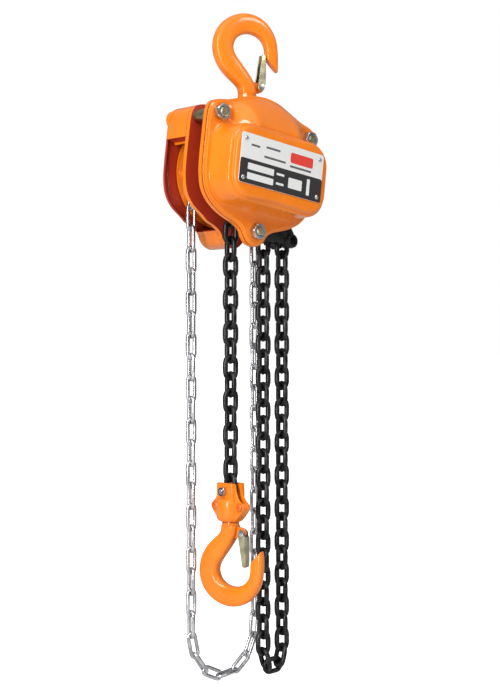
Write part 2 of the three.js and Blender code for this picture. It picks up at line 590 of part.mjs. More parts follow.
const loadModule = 2 * GEAR_CENTRES / (PINION_TEETH + LOAD_TEETH);
const discModule = 2 * GEAR_CENTRES / (DRIVE_TEETH + DISC_TEETH);
const loadGear = gear(LOAD_TEETH, loadModule, LOAD_GEAR_Y - GEAR_WIDTH, LOAD_GEAR_Y, 0)
  .subtract(rodY(9.1, LOAD_GEAR_Y - GEAR_WIDTH - 1, LOAD_GEAR_Y + 1, 0, 0, 24));
addPart('load_gear', loadGear, steel, body);
for (const [name, x] of [['left', -GEAR_CENTRES], ['right', GEAR_CENTRES]]) {
  const disc = gear(DISC_TEETH, discModule, DISC_GEAR_Y - GEAR_WIDTH, DISC_GEAR_Y, 180 / DISC_TEETH)
    .add(gear(PINION_TEETH, loadModule, DISC_GEAR_Y - 0.2, LOAD_GEAR_Y, 180 / PINION_TEETH))
    .add(rodY(JOURNAL_R, SHAFT_END_Y, -PLATE_INNER - 0.4, 0, 0, 20));
  addPart(`disc_gear_${name}`, disc.translate([x, 0, 0]), steel, body);
}
const driveShaft = rodY(SHAFT_R, DISC_GEAR_Y + 1, WHEEL_Y + WHEEL_WIDTH + 1.8)
  .add(gear(DRIVE_TEETH, discModule, DISC_GEAR_Y - GEAR_WIDTH - 0.2, DISC_GEAR_Y + 1.2, 0))
  .add(rodY(JOURNAL_R, SHAFT_END_Y, DISC_GEAR_Y - GEAR_WIDTH + 0.2, 0, 0, 20));
addPart('drive_shaft', driveShaft, steel, body);

// Load brake: threaded hub, two linings and the ratchet that the pawls hold.
const brake = new THREE.Group();
brake.position.y = BRAKE_Y;
body.add(brake);
const brakeBore = SHAFT_R + 0.1;
const hub = turned([[brakeBore, 0], [24, 0], [24, 1.5], [9, 1.5], [9, 7.6], [brakeBore, 7.6]]);
addPart('friction_hub', hub, steel, brake);
const discProfile = (y) => [[9.6, y], [26, y], [26, y + 1.2], [9.6, y + 1.2]];
addPart('friction_disc_inner', turned(discProfile(1.7)), lining, brake);
addPart('friction_disc_outer', turned(discProfile(6.3)), lining, brake);
const ratchetPoints = [];
const RATCHET_TEETH = 24;
for (let tooth = 0; tooth < RATCHET_TEETH; tooth += 1) {
  const start = tooth * 2 * Math.PI / RATCHET_TEETH;
  ratchetPoints.push([29.4 * Math.cos(start), 29.4 * Math.sin(start)]);
  ratchetPoints.push([33 * Math.cos(start + 0.03), 33 * Math.sin(start + 0.03)]);
  ratchetPoints.push([32 * Math.cos(start + 0.09), 32 * Math.sin(start + 0.09)]);
}
const ratchet = plateY(ratchetPoints, 3.2, 6.1).subtract(rodY(9.5, 2, 7));
addPart('ratchet_wheel', ratchet, steel, brake);

const pawlOutline = [[-15.3, 30], [-14.6, 33.5], [-20, 35.6], [-33, 31.4], [-41.4, 29.2], [-45.4, 26.2],
  [-46.2, 21.6], [-43.6, 17.6], [-39, 16.6], [-35, 18.8], [-32.4, 23.6], [-24, 27.2]];
const pawl = plateY(pawlOutline, 3.3, 6)
  .subtract(rodY(PAWL_STUD_R + BORE_CLEARANCE, 2, 7, ...PAWL_PIVOT, 20));
const pawlSpring = turned([[3.4, 0.1], [4.6, 0.1], [4.6, 2.7], [3.4, 2.7]], 20, ...PAWL_PIVOT)
  .add(plateY([[-40.4, 27], [-29, 33], [-29.6, 34], [-41, 28]], 0.7, 2.1));
addPart('pawl_upper', pawl, steel, brake);
addPart('pawl_lower', pawl.rotate([0, 180, 0]), steel, brake);
addPart('pawl_spring_upper', pawlSpring, steel, brake);
addPart('pawl_spring_lower', pawlSpring.rotate([0, 180, 0]), steel, brake);

// Hand wheel and the nut that keeps it on the shaft.
const rim = new THREE.Group();
rim.position.y = WHEEL_Y;
body.add(rim);
const hubR = HAND_FALL_X - 9.4;
const wheelBore = SHAFT_R + 0.4;
const wheel = turned([
  [wheelBore, 0], [15, 0], [15, 6.2], [hubR, 6.2], [hubR, 0.4], [WHEEL_RADIUS, 0.1], [WHEEL_RADIUS, 1.8],
  [WHEEL_GROOVE_R, 3.2], [WHEEL_GROOVE_R, 19.2], [WHEEL_RADIUS, 20.6], [WHEEL_RADIUS, 22.3], [hubR, 22],
  [hubR, 16.2], [15, 16.2], [15, 19.2], [wheelBore, 19.2],
], 30);
addPart('hand_wheel', wheel, paint, rim);
addPart('hand_wheel_nut', hexNut(17, 19.5, 23.6, 0, 0).subtract(rodY(brakeBore, 19, 25)), zinc, rim);

// Chains, as plain bars that follow the path of the links.
const LAST_LINK_TOP = YOKE_TOP + 4;
const lifting = new THREE.Group();
lifting.position.x = -LOAD_FALL_X;
hoist.add(lifting);
const hookSide = box(-LOAD_BAR, LOAD_BAR, -LOAD_BAR, LOAD_BAR, LAST_LINK_TOP - 1, -LIFT - 0.6)
  .add(box(-LINK_WIRE / 2, LINK_WIRE / 2, -LINK_HALF_WIDTH, LINK_HALF_WIDTH, CHAIN_PIN_Z - 6, LAST_LINK_TOP))
  .subtract(rodX(CHAIN_PIN_R + BORE_CLEARANCE, -LOAD_BAR, LOAD_BAR, 0, CHAIN_PIN_Z, 20));
addPart('load_chain_hook_side', hookSide, blackSteel, lifting);

const wrap = turned([[LOAD_FALL_X - 4.25, -8], [LOAD_FALL_X + 4.25, -8], [LOAD_FALL_X + 4.25, 8],
  [LOAD_FALL_X - 4.25, 8]], 24)
  .subtract(box(-SHEAVE_R - 10, SHEAVE_R + 10, -10, 10, -SHEAVE_R - 10, 0.3));
addPart('load_chain_over_sheave', wrap, blackSteel, hoist);

// A square bar along a list of [x, z] points.
function barAlong(path, half, y) {
  const rings = path.map(([x, z], i) => {
    const [ax, az] = path[Math.max(i - 1, 0)];
    const [bx, bz] = path[Math.min(i + 1, path.length - 1)];
    const length = Math.hypot(bx - ax, bz - az);
    const nx = -(bz - az) / length;
    const nz = (bx - ax) / length;
    return [[x + nx * half, y - half, z + nz * half], [x + nx * half, y + half, z + nz * half],
      [x - nx * half, y + half, z - nz * half], [x - nx * half, y - half, z - nz * half]];
  });
  return loft(rings);
}

function loopPath(x0, top0, x1, top1, bendZ, drop) {
  const path = [[x0, top0]];
  const middle = (x0 + x1) / 2;
  const radius = (x1 - x0) / 2;
  for (let step = 0; step <= 14; step += 1) {
    const angle = Math.PI * (1 + step / 14);
    path.push([middle + radius * Math.cos(angle), bendZ + (radius + drop) * Math.sin(angle)]);
  }
  path.push([x1, top1]);
  return path;
}

const slack = barAlong(loopPath(LOAD_FALL_X, -0.6, SLACK_END_X, -84, SLACK_LOOP_Z, 3), LOAD_BAR, 0)
  .add(box(SLACK_END_X - 5, SLACK_END_X + 5, -3, 3, -90, ANCHOR_PIN[1] + 5.9))
  .subtract(rodY(ANCHOR_PIN_R + 0.4, -6, 6, ...ANCHOR_PIN, 20));
addPart('load_chain_slack_loop', slack, blackSteel, hoist);

const wrapInner = HAND_FALL_X - 4.2;
const wrapOuter = HAND_FALL_X + 4.6;
const handWrap = turned([[wrapInner, -5], [wrapOuter, -5], [wrapOuter, 5], [wrapInner, 5]], 30)
  .subtract(box(-wrapOuter - 9, wrapOuter + 9, -8, 8, -wrapOuter - 9, 0.3))
  .translate([0, HAND_PLANE_Y, 0]);
addPart('hand_chain_over_wheel', handWrap, zinc, hoist);
const handLoopPath = loopPath(-HAND_FALL_X, -0.6, HAND_FALL_X, -0.6, HAND_LOOP_Z, 6);
const handLoop = barAlong(handLoopPath, HAND_BAR, HAND_PLANE_Y);
addPart('hand_chain_loop', handLoop, zinc, hoist);

// Bottom yoke: left and right halves clamp the hook's nut and carry the pin of the last link.
const yoke = new THREE.Group();
yoke.position.x = -LOAD_FALL_X;
hoist.add(yoke);
const earTip = YOKE_BOLT_Y + 5.5;
const earOutline = [[-YOKE_HALF_Y, YOKE_TOP], [YOKE_HALF_Y, YOKE_TOP], [YOKE_HALF_Y + 1, YOKE_BOLT_Z + 12],
  [earTip, YOKE_BOLT_Z + 1], [earTip - 1, YOKE_BOLT_Z - 3], [YOKE_BARREL_R - 4, YOKE_BOTTOM + 1],
  [4 - YOKE_BARREL_R, YOKE_BOTTOM + 1], [1 - earTip, YOKE_BOLT_Z - 3], [-earTip, YOKE_BOLT_Z + 1],
  [-YOKE_HALF_Y - 1, YOKE_BOLT_Z + 12]];
let leftYoke = plateY(earOutline, 0, YOKE_EAR_HALF_X).rotate([0, 0, 90])
  .add(box(-YOKE_HALF_X, 0, -YOKE_HALF_Y, YOKE_HALF_Y, YOKE_BOLT_Z + 4, YOKE_TOP))
  .add(rodZ(YOKE_BARREL_R, YOKE_BOTTOM + 3, YOKE_BOLT_Z + 7, 0, 0, 20))
  .add(rodZ(YOKE_BARREL_R - 3, YOKE_BOTTOM, YOKE_BOTTOM + 4, 0, 0, 20))
  .subtract(box(-3.6, 3.6, -earTip, earTip, NUT_POCKET_TOP - 0.5, YOKE_TOP + 2))
  .subtract(rodX(CHAIN_PIN_R + 0.1, -30, 30, 0, CHAIN_PIN_Z, 20))
  .subtract(rodZ(NUT_POCKET_R, NUT_POCKET_BOTTOM, NUT_POCKET_TOP, 0, 0, 20))
  .subtract(rodZ(SHANK_R + 2 * BORE_CLEARANCE, YOKE_BOTTOM - 7, YOKE_BOTTOM + 13));
for (const y of [-YOKE_BOLT_Y, YOKE_BOLT_Y]) {
  leftYoke = leftYoke
    .subtract(rodX(YOKE_BOLT_R + 0.1, -20, 2, y, YOKE_BOLT_Z))
    .subtract(rodX(YOKE_BOLT_R + 1.8, -20, -YOKE_EAR_HALF_X + 2.4, y, YOKE_BOLT_Z));
}
leftYoke = leftYoke.subtract(box(-0.15, 60, -60, 60, YOKE_BOTTOM - 20, YOKE_TOP + 20));
addPart('yoke_left', leftYoke, paint, yoke);
addPart('yoke_right', leftYoke.mirror([1, 0, 0]), paint, yoke);

const nutFace = YOKE_HALF_X + GAP;
const chainPin = rodX(CHAIN_PIN_R, -nutFace - 5.5, nutFace + 2.5, 0, CHAIN_PIN_Z, 20)
  .add(rodX(5.2, -nutFace - 4.4, -nutFace, 0, CHAIN_PIN_Z, 6))
  .add(rodX(5.6, nutFace, nutFace + 2.5, 0, CHAIN_PIN_Z, 20));
addPart('chain_pin', chainPin, zinc, yoke);
const seatX = YOKE_EAR_HALF_X - 2.4 + 0.1;
for (const [name, y] of [['front', -YOKE_BOLT_Y], ['back', YOKE_BOLT_Y]]) {
  const bolt = rodX(YOKE_BOLT_R, -seatX - 3.2, seatX + 2, y, YOKE_BOLT_Z)
    .add(rodX(YOKE_BOLT_R + 1.4, -seatX - 3.2, -seatX, y, YOKE_BOLT_Z));
  addPart(`yoke_bolt_${name}`, bolt, zinc, yoke);
}

addHook('bottom', BOTTOM_HOOK_Z, BOTTOM_HOOK_YAW_DEG, true, 22.5, BOTTOM_BOWL_SHIFT);
const bottomNutBottom = NUT_POCKET_BOTTOM + 0.4;
const bottomNut = rodZ(NUT_R, bottomNutBottom, bottomNutBottom + NUT_HEIGHT + 1, 0, 0, 6)
  .subtract(rodZ(SHANK_R + GAP, bottomNutBottom - 4, NUT_POCKET_TOP + 4));
addPart('bottom_hook_nut', bottomNut, steel, yoke);

export default hoist;
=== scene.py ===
"""A one-ton hand chain hoist, hanging by its top hook with both chains down."""
import math

import bmesh
import bpy
from mathutils import Matrix, Vector


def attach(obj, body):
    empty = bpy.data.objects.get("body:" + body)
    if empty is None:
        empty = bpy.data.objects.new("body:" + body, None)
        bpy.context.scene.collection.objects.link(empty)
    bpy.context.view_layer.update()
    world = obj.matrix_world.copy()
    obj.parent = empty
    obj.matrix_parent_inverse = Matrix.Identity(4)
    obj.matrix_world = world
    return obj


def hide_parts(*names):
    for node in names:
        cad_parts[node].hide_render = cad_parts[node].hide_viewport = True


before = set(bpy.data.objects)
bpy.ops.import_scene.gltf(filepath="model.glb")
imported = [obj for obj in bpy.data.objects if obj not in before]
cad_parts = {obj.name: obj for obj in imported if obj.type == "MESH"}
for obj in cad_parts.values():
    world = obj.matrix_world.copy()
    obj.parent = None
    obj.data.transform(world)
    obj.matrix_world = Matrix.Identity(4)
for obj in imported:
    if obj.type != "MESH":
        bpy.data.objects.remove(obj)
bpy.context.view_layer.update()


# ---- The view ------------------------------------------------------------------------
# A level camera to the left of the gear cover, a metre and a half from the sheave.
# The hoist hangs in front of a plain pale floor, under broad soft lamps.
SHEAVE_HEIGHT = -0.149
VIEW_RIGHT = Vector((0.735, -0.678, 0))
VIEW_AHEAD = Vector((0.678, 0.735, 0))
eye_level = SHEAVE_HEIGHT - 0.191
eye = VIEW_RIGHT * 0.0032 - VIEW_AHEAD * 1.5 + Vector((0, 0, eye_level))
camera_data = bpy.data.cameras.new("camera")
camera_data.lens = 71.7
camera_data.sensor_width = 36
camera = bpy.data.objects.new("camera", camera_data)
camera.location = eye
camera.rotation_euler = VIEW_AHEAD.to_track_quat("-Z", "Y").to_euler()
bpy.context.collection.objects.link(camera)
bpy.context.scene.camera = camera
bpy.context.scene.view_settings.view_transform = "Standard"

world = bpy.data.worlds.new("soft_room")
bpy.context.scene.world = world
world.use_nodes = True
room = world.node_tree
room_light = room.nodes["Background"]
room_light.inputs["Strength"].default_value = 1
around = room.nodes.new("ShaderNodeTexCoord")
axes = room.nodes.new("ShaderNodeSeparateXYZ")
falloff = room.nodes.new("ShaderNodeValToRGB")
falloff.color_ramp.elements[0].position = 0.30
falloff.color_ramp.elements[0].color = (0.06, 0.06, 0.06, 1)
falloff.color_ramp.elements[1].position = 0.85
falloff.color_ramp.elements[1].color = (0.44, 0.44, 0.44, 1)
height = room.nodes.new("ShaderNodeMapRange")
height.inputs["From Min"].default_value = -1
room.links.new(around.outputs["Generated"], axes.inputs["Vector"])
room.links.new(axes.outputs["Z"], height.inputs["Value"])
room.links.new(height.outputs["Result"], falloff.inputs["Fac"])
room.links.new(falloff.outputs["Color"], room_light.inputs["Color"])
backdrop = room.nodes.new("ShaderNodeBackground")
backdrop.inputs["Color"].default_value = (1, 1, 1, 1)
seen = room.nodes.new("ShaderNodeLightPath")
choose = room.nodes.new("ShaderNodeMixShader")
room.links.new(seen.outputs["Is Camera Ray"], choose.inputs["Fac"])
room.links.new(room_light.outputs["Background"], choose.inputs[1])
room.links.new(backdrop.outputs["Background"], choose.inputs[2])
room.links.new(choose.outputs["Shader"], room.nodes["World Output"].inputs["Surface"])

sky_data = bpy.data.lights.new("ceiling_light", "SUN")
sky_data.energy = 1.15
sky_data.angle = math.radians(70)
ceiling_light = bpy.data.objects.new("ceiling_light", sky_data)
ceiling_light.rotation_euler = (math.radians(24), math.radians(-20), 0)
bpy.context.collection.objects.link(ceiling_light)


def soft_lamp(name, place, target, size, watts):
    data = bpy.data.lights.new(name, "AREA")
    data.shape = "RECTANGLE"
    data.size, data.size_y = size
    data.energy = watts
    lamp = bpy.data.objects.new(name, data)
    lamp.location = place
    lamp.rotation_euler = (Vector(target) - Vector(place)).to_track_quat("-Z", "Y").to_euler()
    bpy.context.collection.objects.link(lamp)


soft_lamp("left_lamp", (-1.5, -0.55, 0.1), (0, 0, -0.25), (0.28, 1.5), 26)
soft_lamp("front_lamp", (0.5, -1.9, 0.9), (0, 0, -0.2), (0.6, 0.4), 9)

floor_shape = bmesh.new()
bmesh.ops.create_grid(floor_shape, x_segments=1, y_segments=1, size=90)
floor_mesh = bpy.data.meshes.new("floor")
floor_shape.to_mesh(floor_mesh)
floor_shape.free()
floor = bpy.data.objects.new("floor", floor_mesh)
floor.location.z = -0.76
bpy.context.collection.objects.link(floor)
floor_paint = bpy.data.materials.new("floor_paint")
floor_paint.use_nodes = True
floor_paint.node_tree.nodes["Principled BSDF"].inputs["Base Color"].default_value = (0.68, 0.68, 0.68, 1)
floor_paint.node_tree.nodes["Principled BSDF"].inputs["Roughness"].default_value = 0.9
floor_paint.node_tree.nodes["Principled BSDF"].inputs["Emission Color"].default_value = (1, 1, 1, 1)
floor_glow = floor_paint.node_tree.nodes.new("ShaderNodeLightPath")
floor_paint.node_tree.links.new(floor_glow.outputs["Is Camera Ray"],
                                floor_paint.node_tree.nodes["Principled BSDF"].inputs["Emission Strength"])
floor_mesh.materials.append(floor_paint)


# ---- Side plates ---------------------------------------------------------------------
# Two 5 mm steel plates carry the sheave between them. They are punched to the body's
# outline and deburred. Edges take the covers' orange enamel; faces a dark painted shade.
ON_HOIST = Matrix.Translation((0, 0, SHEAVE_HEIGHT)) @ Matrix.Scale(0.001, 4)
ON_BODY = ON_HOIST @ Matrix.Rotation(math.radians(7), 4, "Y")
HALF_WIDTH = 80
WHEEL_SIDE_HALF_WIDTH = 74.4
BODY_TOP, LOBE_BOTTOM = 79, -82
PLATE_INNER = 13.5
PLATE_OUTER = 18.5
STAY_PLACES = {"left": (-65, 47.5), "right": (65, 47.5), "bottom": (0, -66)}


def enamel(name, deep, bright, gloss=0.24, slot=None):
    """Sprayed gloss paint: slight colour drift, orange-peel skin, clear coat."""
    material = bpy.data.materials.new(name)
    material["slot"] = slot or name
    material.use_nodes = True
    tree = material.node_tree
    shader = tree.nodes["Principled BSDF"]
    place = tree.nodes.new("ShaderNodeTexCoord")
    drift = tree.nodes.new("ShaderNodeTexNoise")
    drift.inputs["Scale"].default_value = 26
    drift.inputs["Detail"].default_value = 4
    blend = tree.nodes.new("ShaderNodeValToRGB")
    blend.color_ramp.elements[0].position = 0.3
    blend.color_ramp.elements[0].color = (*deep, 1)
    blend.color_ramp.elements[1].position = 0.7
    blend.color_ramp.elements[1].color = (*bright, 1)
    peel = tree.nodes.new("ShaderNodeTexNoise")
    peel.inputs["Scale"].default_value = 420
    peel.inputs["Detail"].default_value = 2
    bump = tree.nodes.new("ShaderNodeBump")
    bump.inputs["Strength"].default_value = 0.06
    bump.inputs["Distance"].default_value = 0.0006
    dull = tree.nodes.new("ShaderNodeMapRange")
    dull.inputs["To Min"].default_value = gloss - 0.06
    dull.inputs["To Max"].default_value = gloss + 0.1
    tree.links.new(place.outputs["Object"], drift.inputs["Vector"])
    tree.links.new(place.outputs["Object"], peel.inputs["Vector"])
    tree.links.new(drift.outputs["Fac"], blend.inputs["Fac"])
    tree.links.new(blend.outputs["Color"], shader.inputs["Base Color"])
    tree.links.new(drift.outputs["Fac"], dull.inputs["Value"])
    tree.links.new(dull.outputs["Result"], shader.inputs["Roughness"])
    tree.links.new(peel.outputs["Fac"], bump.inputs["Height"])
    tree.links.new(bump.outputs["Normal"], shader.inputs["Normal"])
    shader.inputs["Coat Weight"].default_value = 0.5
    shader.inputs["Specular IOR Level"].default_value = 0.22
    shader.inputs["Coat Roughness"].default_value = 0.07
    return material


orange_paint = enamel("orange_paint", (0.78, 0.180, 0.005), (0.86, 0.215, 0.007))
# A dark red-brown copy of the orange enamel: painted shade for faces between the plates and inside the wheel cover.
shaded_paint = enamel("orange_paint_painted_shade", (0.30, 0.022, 0.008), (0.40, 0.032, 0.010), 0.4, "orange_paint")


def smooth_curve(points, steps):
    """Evenly split Catmull-Rom curve through a few points."""
    ends = [points[0], *points, points[-1]]
    curve = []
    for before, a, b, after in zip(ends, ends[1:], ends[2:], ends[3:]):
        for step in range(steps):
            t = step / steps
            curve.append(tuple(
                0.5 * (2 * q + (r - p) * t + (2 * p - 5 * q + 4 * r - s) * t * t
                       + (3 * q - p - 3 * r + s) * t ** 3)
                for p, q, r, s in zip(before, a, b, after)))
    curve.append(points[-1])
    return curve


def body_outline(w=HALF_WIDTH, wall=0.0, steps=5):
    """The body's outline, drawn in by the wall's thickness where one is given."""
    w, top, lobe = w - wall, BODY_TOP - wall, LOBE_BOTTOM + wall
    half = [(0, lobe), (8 - wall / 2, lobe + 2), (14 - wall, lobe + 7.5), (18 - wall, lobe + 14), (26, lobe + 19.2),
            (38, lobe + 23.2), (w - 29, lobe + 28), (w - 15, lobe + 36.5), (w - 5.5, lobe + 48), (w - 1, lobe + 64),
            (w, 0), (w - 0.2, 25), (w - 1, top - 31.5), (w - 5, top - 21.5), (w - 14, top - 17), (w - 26, top - 14.5),
            (36, top - 8), (18, top - 2), (0, top)]
    right = smooth_curve(half, steps)
    return right + [(-x, z) for x, z in reversed(right[1:-1])]


def ring(bm, points):
    """A closed loop of edges through the points."""
    verts = [bm.verts.new(p) for p in points]
    return [bm.edges.new(pair) for pair in zip(verts, verts[1:] + verts[:1])]


def skin(bm, loops, closed=False, capped=True):
    """Bridges each loop to the next, then caps the two ends."""
    pairs = list(zip(loops, loops[1:]))
    if closed:
        pairs.append((loops[-1], loops[0]))
    for a, b in pairs:
        bmesh.ops.bridge_loops(bm, edges=a + b)
    if capped and not closed:
        for loop in (loops[0], loops[-1]):
            bmesh.ops.holes_fill(bm, edges=loop, sides=0)


def plate(outline, y0, y1):
    """A flat plate with its outline in XZ."""
    bm = bmesh.new()
    skin(bm, [ring(bm, [(x, y, z) for x, z in outline]) for y in (y0, y1)])
    return bm


def round_over(bm, width, segments=2, angle=32):
    """Rounds every edge sharper than the angle."""
    bm.normal_update()
    sharp = [e for e in bm.edges if len(e.link_faces) == 2 and e.calc_face_angle() > math.radians(angle)]
    bmesh.ops.bevel(bm, geom=sharp, offset=width, segments=segments, profile=0.5, affect="EDGES",
                    clamp_overlap=True, material=-1)


def boolean(bm, tools, kind="DIFFERENCE"):
    """Cuts or joins other shapes, and gives the result back as a new shape."""
    def as_object(shape):
        bmesh.ops.recalc_face_normals(shape, faces=shape.faces)
        mesh = bpy.data.meshes.new("blank")
        shape.to_mesh(mesh)
        shape.free()
        made = bpy.data.objects.new("blank", mesh)
        bpy.context.collection.objects.link(made)
        return made

    base = as_object(bm)
    cutters = [as_object(tool) for tool in tools]
    for cutter in cutters:
        step = base.modifiers.new("cut", "BOOLEAN")
        step.operation = kind
        step.solver = "EXACT"
        step.object = cutter
    view = bpy.context.evaluated_depsgraph_get()
    result = bmesh.new()
    result.from_mesh(base.evaluated_get(view).to_mesh())
    for used in (base, *cutters):
        bpy.data.objects.remove(used)
    bmesh.ops.dissolve_limit(result, angle_limit=0.01, verts=result.verts, edges=result.edges)
    return result


def rod(radius, start, end, sides=32):
    """A round bar between two points."""
    a, b = Vector(start), Vector(end)
    turn = (b - a).to_track_quat("Z", "Y").to_matrix().to_4x4()
    bm = bmesh.new()
    bmesh.ops.create_cone(bm, cap_ends=True, segments=sides, radius1=radius, radius2=radius,
                          depth=(b - a).length, matrix=Matrix.Translation((a + b) / 2) @ turn)
    return bm


def block(low, high):
    """A plain block between two corners, as stock for cutting."""
    bm = bmesh.new()
    bmesh.ops.create_cube(bm, size=1)
    size = Vector(high) - Vector(low)
    bmesh.ops.scale(bm, vec=size, verts=bm.verts)
    bmesh.ops.translate(bm, vec=(Vector(low) + Vector(high)) / 2, verts=bm.verts)
    return bm


def fit(bm, name, place, material, body, stands_for=(), sharp=34, painted_shade_faces=None):
    """Puts a finished shape on the hoist, riding on the body it is fixed to."""
    bmesh.ops.remove_doubles(bm, verts=bm.verts, dist=0.003)
    bmesh.ops.recalc_face_normals(bm, faces=bm.faces)
    bm.transform(place)
    bm.normal_update()
    for face in bm.faces:
        face.smooth = True
    for edge in bm.edges:
        edge.smooth = len(edge.link_faces) == 2 and edge.calc_face_angle() < math.radians(sharp)
    mesh = bpy.data.meshes.new(name)
    bm.to_mesh(mesh)
    bm.free()
    piece = bpy.data.objects.new(name, mesh)
    bpy.context.collection.objects.link(piece)
    mesh.materials.append(material)
    # Faces the mask picks take the dark red-brown painted shade.
    if painted_shade_faces:
        mesh.materials.append(shaded_paint)
        for face in mesh.polygons:
            face.material_index = int(painted_shade_faces(face))
    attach(piece, body)
    if stands_for:
        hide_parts(*stands_for)
    return piece


def bored(shape, bores, y0, y1):
    return boolean(shape, [rod(r, (x, y0, z), (x, y1, z), 48) for x, z, r in bores])


plate_bores = [(0, 0, 21.2), (-7.62, 62.03, 7.3)]
gear_side = bored(plate(body_outline(), -PLATE_OUTER, -PLATE_INNER), plate_bores, -25, -8)
round_over(gear_side, 0.7)
fit(gear_side, "gear_side_plate", ON_BODY, orange_paint, "hoist_body", ["side_plate_gear_side"],
    painted_shade_faces=lambda face: abs(face.normal.y) > 0.99)
wheel_side = bored(plate(body_outline(WHEEL_SIDE_HALF_WIDTH), PLATE_INNER, PLATE_OUTER), plate_bores, 8, 25)
round_over(wheel_side, 0.7)
fit(wheel_side, "wheel_side_plate", ON_BODY, orange_paint, "hoist_body", ["side_plate_wheel_side"],
    painted_shade_faces=lambda face: abs(face.normal.y) > 0.99)
for side in (1, -1):
    stud = rod(3, (side * -39.8, 18, side * 23), (side * -39.8, 26.2, side * 23), 24)
    round_over(stud, 0.4)
    fit(stud, f"pawl_stud_{'upper' if side > 0 else 'lower'}", ON_BODY, orange_paint, "hoist_body")


# ---- Gear cover ----------------------------------------------------------------------
# A deep-drawn steel shell over the gears: a rolled flange, a stepped bulge with a flat
# face for the nameplate, and a low dome that runs up between the two top stay nuts.
BULGE_LEFT, BULGE_RIGHT = -71, 71
BULGE_BOTTOM, BULGE_TOP = -44, 38
FLANGE_BACK, FLANGE_FRONT = -18.9, -22.8
RAYS = 168


def polar(points, rays=RAYS):
    """The outline's reach along evenly spread rays from the centre."""
    found = []
    for k in range(rays):
        angle = 2 * math.pi * k / rays
        dx, dz = math.cos(angle), math.sin(angle)
        best = 0
        for (ax, az), (bx, bz) in zip(points, points[1:] + points[:1]):
            ex, ez = bx - ax, bz - az
            across = dx * ez - dz * ex
            if abs(across) < 1e-9:
                continue
            reach = (ax * ez - az * ex) / across
            along = (ax * dz - az * dx) / across
            if reach > best and -1e-6 <= along <= 1 + 1e-6:
                best = reach
        found.append(best)
    return found


def rounded_box(x0, x1, z0, z1, corner, steps=10):
    points = []
    for cx, cz, start in ((x1 - corner, z1 - corner, 0), (x0 + corner, z1 - corner, 90),
                          (x0 + corner, z0 + corner, 180), (x1 - corner, z0 + corner, 270)):
        for step in range(steps + 1):
            angle = math.radians(start + 90 * step / steps)
            points.append((cx + corner * math.cos(angle), cz + corner * math.sin(angle)))
    return points


outline_reach = polar(body_outline())
bulge_reach = polar(rounded_box(BULGE_LEFT, BULGE_RIGHT, BULGE_BOTTOM, BULGE_TOP, 26))


def cover_loop(bm, reaches, inset, y):
    points = []
    for k, reach in enumerate(reaches):
        angle = 2 * math.pi * k / RAYS
        points.append(((reach - inset) * math.cos(angle), y, (reach - inset) * math.sin(angle)))
    return ring(bm, points)


def mixed(share):
    """Reaches part way from the bulge out to the flange's rim."""
    return [b + (max(o - 3.4, b + 1) - b) * share for o, b in zip(outline_reach, bulge_reach)]


def dome(x, z):
    """How far the cover stands out above the bulge, between the top nuts."""
    across = min(max((52 - abs(x)) / 22, 0), 1)
    up = min(max((82 - z) / 40, 0), 1)
    start = min(max((z - 26) / 10, 0), 1)
    return 24 * across * across * (3 - 2 * across) * up * start


cover = bmesh.new()
cover_loops = [
    cover_loop(cover, outline_reach, 0.9, FLANGE_BACK),
    cover_loop(cover, outline_reach, 0, FLANGE_BACK - 0.8),
    cover_loop(cover, outline_reach, 0, FLANGE_FRONT + 1.9),
    cover_loop(cover, outline_reach, 0.7, FLANGE_FRONT + 1.3),
    cover_loop(cover, outline_reach, 2.4, FLANGE_FRONT + 1.2),
    cover_loop(cover, outline_reach, 2.9, FLANGE_FRONT + 0.7),
    cover_loop(cover, outline_reach, 3.3, FLANGE_FRONT),
    cover_loop(cover, mixed(0.9), 0, FLANGE_FRONT),
    cover_loop(cover, mixed(0.5), 0, FLANGE_FRONT - 0.2),
    cover_loop(cover, mixed(0.22), 0, FLANGE_FRONT - 0.9),
    cover_loop(cover, bulge_reach, -1.9, FLANGE_FRONT - 2.8),
    cover_loop(cover, bulge_reach, -0.7, FLANGE_FRONT - 6),
    cover_loop(cover, bulge_reach, 0, FLANGE_FRONT - 12),
    cover_loop(cover, bulge_reach, 0.3, -43),
    cover_loop(cover, bulge_reach, 0.7, -48),
    cover_loop(cover, bulge_reach, 1.3, -49.9),
    cover_loop(cover, bulge_reach, 2.5, -50.9),
    cover_loop(cover, bulge_reach, 4.3, -51.3),
    cover_loop(cover, bulge_reach, 4.8, -51.6),
    cover_loop(cover, bulge_reach, 5.2, -53.4),
    cover_loop(cover, bulge_reach, 5.9, -55.0),
    cover_loop(cover, bulge_reach, 7.3, -55.8),
    cover_loop(cover, bulge_reach, 9.5, -56),
]
skin(cover, cover_loops, capped=False)
bmesh.ops.holes_fill(cover, edges=cover_loops[-1], sides=0)
for vert in cover.verts:
    if -50 < vert.co.y < FLANGE_FRONT + 0.5:
        ray = round(math.atan2(vert.co.z, vert.co.x) * RAYS / (2 * math.pi)) % RAYS
        from_rim = outline_reach[ray] - math.hypot(vert.co.x, vert.co.z)
        lift = dome(vert.co.x, vert.co.z) * min(max((from_rim - 3) / 4, 0), 1)
        vert.co.y = min(vert.co.y, FLANGE_FRONT - lift)
bmesh.ops.recalc_face_normals(cover, faces=cover.faces)
bmesh.ops.solidify(cover, geom=cover.faces, thickness=2.4)
gear_cover = fit(cover, "gear_cover_shell", ON_BODY, orange_paint, "hoist_body", ["gear_cover"], sharp=60)
soften = gear_cover.modifiers.new("soften", "SUBSURF")
soften.levels = soften.render_levels = 1


